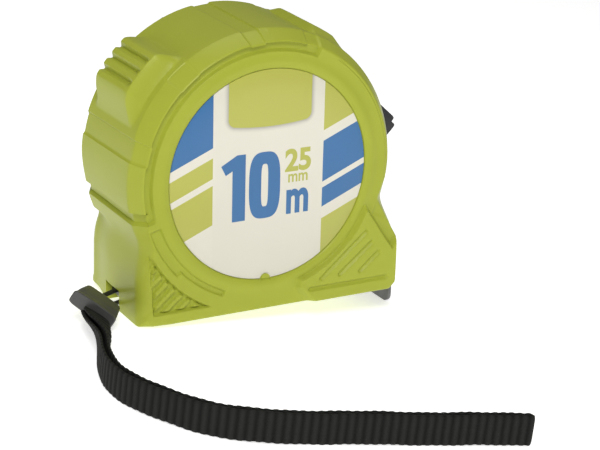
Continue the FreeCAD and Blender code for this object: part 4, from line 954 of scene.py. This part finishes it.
def webbing_ribbon():
    """The doubled webbing as one long ribbon: out along one side of the middle line, round the fold and back.
    Its section is a flat oval, cosine and sine to a small power, whose thickness swells at each rib as a
    cosine of the distance along it. It leaves the clamp at the clamp's tilt and then stands on its edge."""
    layer, pitch = size("strap_layer"), size("rib_pitch")
    lift = STRAP_WIDTH / 2 + 0.15
    route = [(x - REAR, y, ground(x - REAR) + lift) for x, y in STRAP_ROUTE]
    path = spline_points("strap_route", route, 24)
    length = travelled(path)
    total = length[-1]
    fold = GAP_AT_CLAMP + GAP_GROWS + layer / 2
    straight = np.linspace(0, total - fold, int((total - fold) / pitch * 9))
    middle = np.stack([np.interp(straight, length, path[:, k]) for k in range(3)], axis=-1)
    tangent = unit_rows(np.gradient(middle, axis=0))
    upright = unit_rows(np.array([[GROUND_SLOPE, 0, 1.0]]))
    turn = step(straight / TURN_RUN)[:, None]
    wide = unit_rows(-np.array(CLAMP_WIDE)[None] * (1 - turn) + upright * turn)
    wide = unit_rows(wide - (wide * tangent).sum(-1, keepdims=True) * tangent)
    side = np.cross(tangent, wide)
    # The two layers lie close at the clamp and part a little further on; the gap wavers slightly.
    gap = GAP_AT_CLAMP + GAP_GROWS * step(straight / GAP_RUN) + 0.02 * np.sin(straight * 0.35)
    off = (gap + layer / 2)[:, None]
    arc = np.linspace(0, np.pi, 14)[1:-1, None]
    end, along, out, up = middle[-1], tangent[-1], side[-1], wide[-1]
    radius = off[-1, 0]
    turn_points = end + radius * (np.cos(arc) * out + np.sin(arc) * along)
    centre = np.vstack([middle + side * off, turn_points, (middle - side * off)[::-1]])
    width_way = np.vstack([wide, np.repeat(up[None], len(arc), 0), wide[::-1]])
    run = unit_rows(np.gradient(centre, axis=0))
    normal = unit_rows(np.cross(run, width_way))
    travel = travelled(centre)
    wave = 0.5 + 0.5 * np.cos(2 * np.pi * travel / pitch)
    rib = step(wave * 1.35 - 0.1)
    wander = 0.10 * np.sin(travel * 0.21) + 0.06 * np.sin(travel * 0.53 + 1.0)
    section = 28
    around = full_turn(section)
    wide_share, thick_share = powered(np.cos(around), 0.42), powered(np.sin(around), 0.42)
    selvedge = step((0.93 - np.abs(wide_share)) / 0.12)
    half_thick = (layer / 2) * (0.70 + 0.30 * (rib[:, None] * selvedge + 0.45 * (1 - selvedge)))
    half_wide = (STRAP_WIDTH / 2 - 0.18 + 0.16 * rib)[:, None] + 0 * wide_share
    sideways = (half_wide * wide_share + wander[:, None])[..., None]
    points = (centre[:, None, :] + width_way[:, None, :] * sideways
              + normal[:, None, :] * (half_thick * thick_share)[..., None])
    piece = mesh_piece("webbing_strap", *closed_rows(points), smooth_angle=60.0)
    # The map holds the distance along the webbing and across it, in millimetres.
    vertex_map = np.zeros((len(piece.data.vertices), 2))
    vertex_map[:points.shape[0] * section, 0] = np.repeat(travel, section)
    vertex_map[:points.shape[0] * section, 1] = np.tile(STRAP_WIDTH / 2 * wide_share, len(centre))
    corners = np.empty(len(piece.data.loops), int)
    piece.data.loops.foreach_get("vertex_index", corners)
    weave = piece.data.uv_layers.new(name="weave")
    weave.data.foreach_set("uv", vertex_map[corners].ravel())
    return piece, path, total


def webbing_material():
    """Ribbed black webbing: painted light on the rib crowns and painted shade in the furrows, fine lengthwise
    threads and small fuzz.
    """
    tape = settings()
    nodes = Nodes("ribbed_webbing")
    uv = nodes.add("ShaderNodeUVMap", uv_map="weave")
    split = nodes.add("ShaderNodeSeparateXYZ")
    nodes.feed(split.inputs[0], uv.outputs[0])
    along, across = split.outputs[0], split.outputs[1]
    vector, _ = nodes.place()
    wave = nodes.math("COSINE", nodes.math("MULTIPLY", along, 2 * math.pi / size("rib_pitch")))
    crown = nodes.math("MULTIPLY_ADD", wave, 0.5, 0.5, clamp=True)
    slanting = nodes.math("ADD", along, nodes.math("MULTIPLY", across, 0.7))
    thread, twill = (nodes.math("MULTIPLY_ADD", nodes.math("SINE", nodes.math(
        "MULTIPLY", way, 2 * math.pi / apart)), 0.5, 0.5) for way, apart in ((across, 0.42), (slanting, 0.5)))
    fuzz = nodes.noise(vector, 2.4, 4.0)
    # Painted light and shade: the rib crowns are painted lighter and the furrows darker, the mix varied by
    # the fuzz noise.
    light = nodes.math("MULTIPLY", nodes.math("POWER", crown, 0.8),
                       nodes.math("MULTIPLY_ADD", fuzz, 0.7, 0.6), clamp=True)
    # The furrows' painted shade: the webbing colour darkened to 0.22 of itself.
    dark = tuple(c * 0.22 for c in tape.webbing)
    colour = nodes.mix(light, dark, tuple(tape.webbing))
    threads = nodes.math("ADD", nodes.math("MULTIPLY", thread, 0.5), nodes.math("MULTIPLY", twill, 0.35))
    height = nodes.math("ADD", threads, nodes.math("MULTIPLY", fuzz, 0.4))
    nodes.set(Base_Color=colour, Roughness=nodes.math("MULTIPLY_ADD", fuzz, 0.15, 0.72),
              Specular_IOR_Level=0.22)
    nodes.bump(height, 0.7, 0.12)
    return nodes.material


def clamp_frame():
    """The clamp's own axes as columns: width, length towards the loop, and thickness."""
    across = np.array(CLAMP_WIDE)
    normal = np.cross(across, np.array(CLAMP_LONG))
    normal /= np.linalg.norm(normal)
    return np.stack([across, np.cross(normal, across), normal], axis=-1)


def clamp_points(local):
    """Points given in the clamp's own axes, moved to where it lies."""
    return local @ clamp_frame().T + np.array(CLAMP_AT)


def clamp_point(x, y, z):
    """One point given in the clamp's own axes."""
    return tuple(clamp_points(np.array([x, y, z], float)))


def cord_material():
    """Black braid: small cells of darker and lighter thread."""
    nodes = Nodes("braided_cord")
    vector, _ = nodes.place()
    braid = nodes.add("ShaderNodeTexVoronoi")
    nodes.feed(braid.inputs["Vector"], vector)
    braid.inputs["Scale"].default_value = 2.6
    nodes.set(Base_Color=nodes.mix(braid.outputs[0], linear(14, 14, 15), linear(44, 44, 46)), Roughness=0.62)
    nodes.bump(braid.outputs[0], 0.8, 0.12)
    return nodes.material


def clamp_body():
    """A crimped sleeve: rings of a rounded box, cosine and sine to a small power, that narrow evenly towards
    the loop, ease in at both ends as a quarter circle, and are pinched by a bell curve beside the webbing."""
    around = full_turn(48)
    y = np.linspace(-SLEEVE_HALF, SLEEVE_HALF, 30)
    ease = np.clip((SLEEVE_HALF - np.abs(y)) / 0.7, 0, 1)
    shrink = 0.35 * (1 - np.sqrt(1 - (1 - ease) ** 2))
    half_wide = np.interp(y, (-SLEEVE_HALF, SLEEVE_HALF), SLEEVE_WIDE) - shrink
    half_thick = SLEEVE_THICK - shrink
    pinch = 0.75 * np.exp(-((y + 2.6) / 1.5) ** 2)
    wide, thick = powered(np.cos(around), 0.28), powered(np.sin(around), 0.36)
    middle = np.exp(-(wide * half_wide.max() / 3.2) ** 2)
    local = np.stack(np.broadcast_arrays(
        half_wide[:, None] * wide[None], y[:, None] + 0 * wide[None],
        (half_thick[:, None] - pinch[:, None] * (1 - middle[None])) * thick[None]), axis=-1)
    return mesh_piece("strap_sleeve", *closed_rows(clamp_points(local)))


def crimp_tongue():
    """A pressed tongue on the sleeve's lower face: a low dome with a dished middle, as ovals from the middle
    out, each with its share of the tongue's size and its height."""
    turn = full_turn(40)
    rows = [clamp_points(np.stack([3.0 * share * np.cos(turn), 2.1 * share * np.sin(turn) - 2.5,
                                   np.full_like(turn, -2.3 - height)], axis=-1)) for share, height in TONGUE]
    return mesh_piece("sleeve_tongue_lower", *closed_rows(
        np.stack(rows), clamp_point(0, -2.5, -2.68), clamp_point(0, -2.5, -1.9)), smooth_angle=50.0)


class TAPE_OT_strap(bpy.types.Operator):
    """Wrist strap of doubled webbing, its clamp and the thin cord loop that holds it to the case"""
    bl_idname = "tape.strap"
    bl_label = "Wrist strap"

    def execute(self, context):
        strap, path, total = webbing_ribbon()
        paint(strap, webbing_material())
        sleeve, tongue = clamp_body(), crimp_tongue()
        dark = speckled("dark_sleeve", linear(82, 82, 80), linear(68, 68, 67), 0.42, 0.12, 1.6, 0.12,
                        metallic=0.1, coat=0.15)
        paint(sleeve, dark)
        paint(tongue, speckled("pressed_metal", linear(70, 70, 70), linear(40, 40, 41), 0.20, 0.08, 0.9, 0.25,
                               metallic=0.8))
        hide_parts("wrist_strap")
        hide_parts("strap_clamp")
        for piece, slot in ((strap, "webbing"), (sleeve, "clamp"), (tongue, "clamp")):
            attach(piece, "root")
        self.loop()
        return {"FINISHED"}

    def loop(self):
        """The thin cord: from the sleeve over the pin, round it and back."""
        wrap = PIN_RADIUS + CORD_RADIUS + CORD_ROOM
        start, end = clamp_point(-1.6, 4.2, 0), clamp_point(1.8, 4.2, 0)
        points = [start, (PIN.x - 5.5, -3.4, PIN.z + wrap + 0.55), (PIN.x - 0.6, -0.2, PIN.z + wrap + 0.25),
                  (PIN.x + wrap + 0.55, 0, PIN.z + wrap - 0.4), (PIN.x + wrap + 0.55, 0, PIN.z - wrap + 0.4),
                  (PIN.x - 0.6, -0.2, PIN.z - wrap - 0.1), (PIN.x - 4.8, -4.2, PIN.z - wrap + 1.0), end]
        curve = smooth_curve("cord_loop", points, 16)
        curve.bevel_depth, curve.bevel_resolution = CORD_DRAWN * MM, 5
        curve.use_fill_caps = True
        piece = link(curve, "cord_loop")
        paint(piece, cord_material())
        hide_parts("strap_loop")
        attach(piece, "root")
        length = travelled(spline_points("loop_measure", points, 16))[-1]


# ---------------------------------------------------------------- hook, lock, clip and insides

class TAPE_OT_hook(bpy.types.Operator):
    """End hook, rivets, blade and the rubber bumper in the mouth"""
    bl_idname = "tape.hook"
    bl_label = "Hook and blade"

    def execute(self, context):
        hook = eased_copy("end_hook", "hook_plate", 0.22)
        paint(hook, brushed("hook_steel", linear(128, 128, 128), linear(84, 84, 85), 0.32, "y"))
        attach(hook, "hook")
        paint_node("hook_rivets", speckled("rivet_steel", linear(176, 176, 178), linear(140, 140, 142),
                                           0.28, 0.1, 2.0, 0.1, metallic=1.0))
        paint_node("tape_blade", self.blade())
        paint_node("tape_coil", self.blade("wound_blade"))
        paint_node("mouth_bumper", speckled("bumper_rubber", linear(34, 34, 35), linear(24, 24, 25),
                                            0.75, 0.1, 3.0, 0.25))
        return {"FINISHED"}

    def blade(self, name="coated_blade"):
        """Yellow coating with fine black marks across it every millimetre, longer every ten."""
        nodes = Nodes(name)
        vector, (x, y, _) = nodes.place()
        off_middle = nodes.math("ABSOLUTE", nodes.math("SUBTRACT", nodes.math("FRACT", x), 0.5))
        near = nodes.math("LESS_THAN", off_middle, 0.10)
        short = nodes.math("GREATER_THAN", nodes.math("ABSOLUTE", y), 9.5)
        tens = nodes.math("LESS_THAN", nodes.math("FRACT", nodes.math("DIVIDE", x, 10.0)), 0.035)
        tall = nodes.math("GREATER_THAN", nodes.math("ABSOLUTE", y), 4.0)
        marks = nodes.math("MAXIMUM", nodes.math("MULTIPLY", near, short),
                           nodes.math("MULTIPLY", tens, tall))
        tone = nodes.mix(nodes.noise(vector, 0.3, 2.0), linear(228, 190, 48), linear(214, 174, 36))
        nodes.set(Base_Color=nodes.mix(marks, tone, linear(22, 22, 22)), Roughness=0.34,
                  Coat_Weight=0.3)
        nodes.bump(nodes.noise(vector, 3.0, 2.0), 0.05, 0.02)
        return nodes.material


class TAPE_OT_lock(bpy.types.Operator):
    """Thumb lock and its brake pad"""
    bl_idname = "tape.lock"
    bl_label = "Lock"

    def execute(self, context):
        lock = eased_copy("lock_button", "thumb_lock", 0.3)
        dark = tuple(settings().dark_plastic)
        paint(lock, speckled("lock_plastic", dark, tuple(c * 0.6 for c in dark), 0.36, 0.1, 2.6, 0.2))
        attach(lock, "lock")
        paint_node("brake_pad", speckled("brake_rubber", linear(36, 36, 37), linear(26, 26, 27),
                                         0.8, 0.1, 3.0, 0.3))
        return {"FINISHED"}


class TAPE_OT_clip(bpy.types.Operator):
    """Belt clip and the screws of the clip side"""
    bl_idname = "tape.clip"
    bl_label = "Belt clip and screws"

    def execute(self, context):
        clip = eased_copy("belt_clip", "sprung_clip", 0.28)
        paint(clip, brushed("clip_steel", linear(196, 196, 199), linear(160, 160, 163), 0.27, "z"))
        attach(clip, "root")
        plated = speckled("plated_screws", linear(168, 168, 170), linear(120, 120, 124),
                          0.3, 0.1, 2.0, 0.12, metallic=1.0)
        for node in ("case_screws", "belt_clip_screw"):
            paint_node(node, plated)
        paint_node("strap_pin", speckled("pin_steel", linear(120, 120, 122), linear(88, 88, 90),
                                         0.35, 0.1, 2.0, 0.1, metallic=1.0))
        return {"FINISHED"}


class TAPE_OT_spool(bpy.types.Operator):
    """Finishes of the hidden spool, spring and post"""
    bl_idname = "tape.spool"
    bl_label = "Spool"

    def execute(self, context):
        nylon = speckled("spool_plastic", linear(92, 92, 95), linear(74, 74, 77), 0.5, 0.1, 1.5, 0.15)
        for node in ("spool_drum", "spool_flange"):
            paint_node(node, nylon)
        paint_node("power_spring", brushed("blued_spring", linear(96, 104, 128), linear(66, 72, 92),
                                           0.3, "y"))
        paint_node("centre_post", speckled("post_steel", linear(140, 140, 142), linear(108, 108, 110),
                                           0.3, 0.1, 1.5, 0.1, metallic=1.0))
        return {"FINISHED"}


# ---------------------------------------------------------------- stage

CAMERA_AT = Vector((-0.23646, -0.47048, 0.20546))
CAMERA_RIGHT = Vector((0.88005, -0.47416, 0.02618))
CAMERA_UP = Vector((0.13555, 0.30366, 0.94309))
CAMERA_LENS = 107.74
# Each disk lamp's place and width in metres, power in watts and colour; all of them face the case.
LAMPS = (("key", (-0.38, -0.85, 0.95), 0.45, 9.0, (1.0, 0.99, 0.97)),
         ("fill", (0.85, -0.80, 0.35), 0.9, 0.5, (0.97, 0.98, 1.0)),
         ("top", (0.10, 0.35, 1.1), 0.8, 3.2, (1.0, 1.0, 1.0)))
WORLD_STRENGTH = 0.14
FLOOR_REACH, FLOOR_GAP, FLOOR_GLOW = 3000.0, 0.05, 0.66


class TAPE_OT_stage(bpy.types.Operator):
    """Camera, pale ground and soft lights"""
    bl_idname = "tape.stage"
    bl_label = "Stage"

    def execute(self, context):
        scene = context.scene
        data = bpy.data.cameras.new("camera")
        data.lens, data.sensor_width = CAMERA_LENS, 36.0
        data.clip_start, data.clip_end = 0.02, 20.0
        camera = bpy.data.objects.new("camera", data)
        scene.collection.objects.link(camera)
        back = CAMERA_RIGHT.cross(CAMERA_UP)
        turn = Matrix((CAMERA_RIGHT, CAMERA_UP, back)).transposed().to_4x4()
        camera.matrix_world = Matrix.Translation(CAMERA_AT) @ turn
        scene.camera = camera
        scene.view_settings.view_transform = "Standard"
        self.floor()
        self.world(scene)
        for lamp in LAMPS:
            self.lamp(*lamp)
        return {"FINISHED"}

    def floor(self):
        """A pale plane that slopes as the tape stands, far wider than the tape."""
        corners = ((-1, -1), (1, -1), (1, 1), (-1, 1))
        points = np.array([(x - REAR, y, -GROUND_SLOPE * x - FLOOR_GAP)
                           for x, y in np.array(corners) * FLOOR_REACH])
        mesh = bpy.data.meshes.new("ground")
        mesh.from_pydata((points * MM).tolist(), [], [(0, 1, 2, 3)])
        piece = link(mesh, "ground")
        nodes = Nodes("pale_ground")
        nodes.set(Base_Color=(0.85, 0.85, 0.85), Roughness=0.8, Emission_Color=(1.0, 1.0, 1.0),
                  Emission_Strength=FLOOR_GLOW)
        paint(piece, nodes.material)

    def world(self, scene):
        """An even white surround."""
        world = bpy.data.worlds.new("studio")
        scene.world = world
        world.use_nodes = True
        background = next(n for n in world.node_tree.nodes if n.type == "BACKGROUND")
        background.inputs["Color"].default_value = (1.0, 1.0, 1.0, 1.0)
        background.inputs["Strength"].default_value = WORLD_STRENGTH

    def lamp(self, name, place, width, power, colour):
        """A disk lamp that faces the middle of the case."""
        data = bpy.data.lights.new(name, "AREA")
        data.shape, data.size, data.energy, data.color = "DISK", width, power, colour
        lamp = bpy.data.objects.new(name, data)
        bpy.context.scene.collection.objects.link(lamp)
        lamp.location = place
        aim = Vector((0, 0, AXLE * MM)) - lamp.location
        lamp.rotation_euler = aim.to_track_quat("-Z", "Y").to_euler()


OPERATORS = (TAPE_OT_stage, TAPE_OT_strap, TAPE_OT_case, TAPE_OT_label, TAPE_OT_hook, TAPE_OT_lock,
             TAPE_OT_clip, TAPE_OT_spool)


class TAPE_PT_panel(bpy.types.Panel):
    """Lists the tape measure's pieces in the sidebar"""
    bl_label = "Tape measure"
    bl_space_type = "VIEW_3D"
    bl_region_type = "UI"
    bl_category = "Tape"

    def draw(self, context):
        for name in TapeSettings.__annotations__:
            self.layout.prop(context.scene.tape_measure, name)
        for operator in OPERATORS:
            self.layout.operator(operator.bl_idname)


def register():
    """Makes the settings, the operators and the panel known."""
    for item in (TapeSettings, *OPERATORS, TAPE_PT_panel):
        bpy.utils.register_class(item)
    bpy.types.Scene.tape_measure = bpy.props.PointerProperty(type=TapeSettings)


def unregister():
    """Takes them away again."""
    del bpy.types.Scene.tape_measure
    for item in (TAPE_PT_panel, *reversed(OPERATORS), TapeSettings):
        bpy.utils.unregister_class(item)


def main():
    """Builds every piece in order."""
    register()
    for operator in OPERATORS:
        group, name = operator.bl_idname.split(".")
        getattr(getattr(bpy.ops, group), name)()


if __name__ == "__main__":
    main()
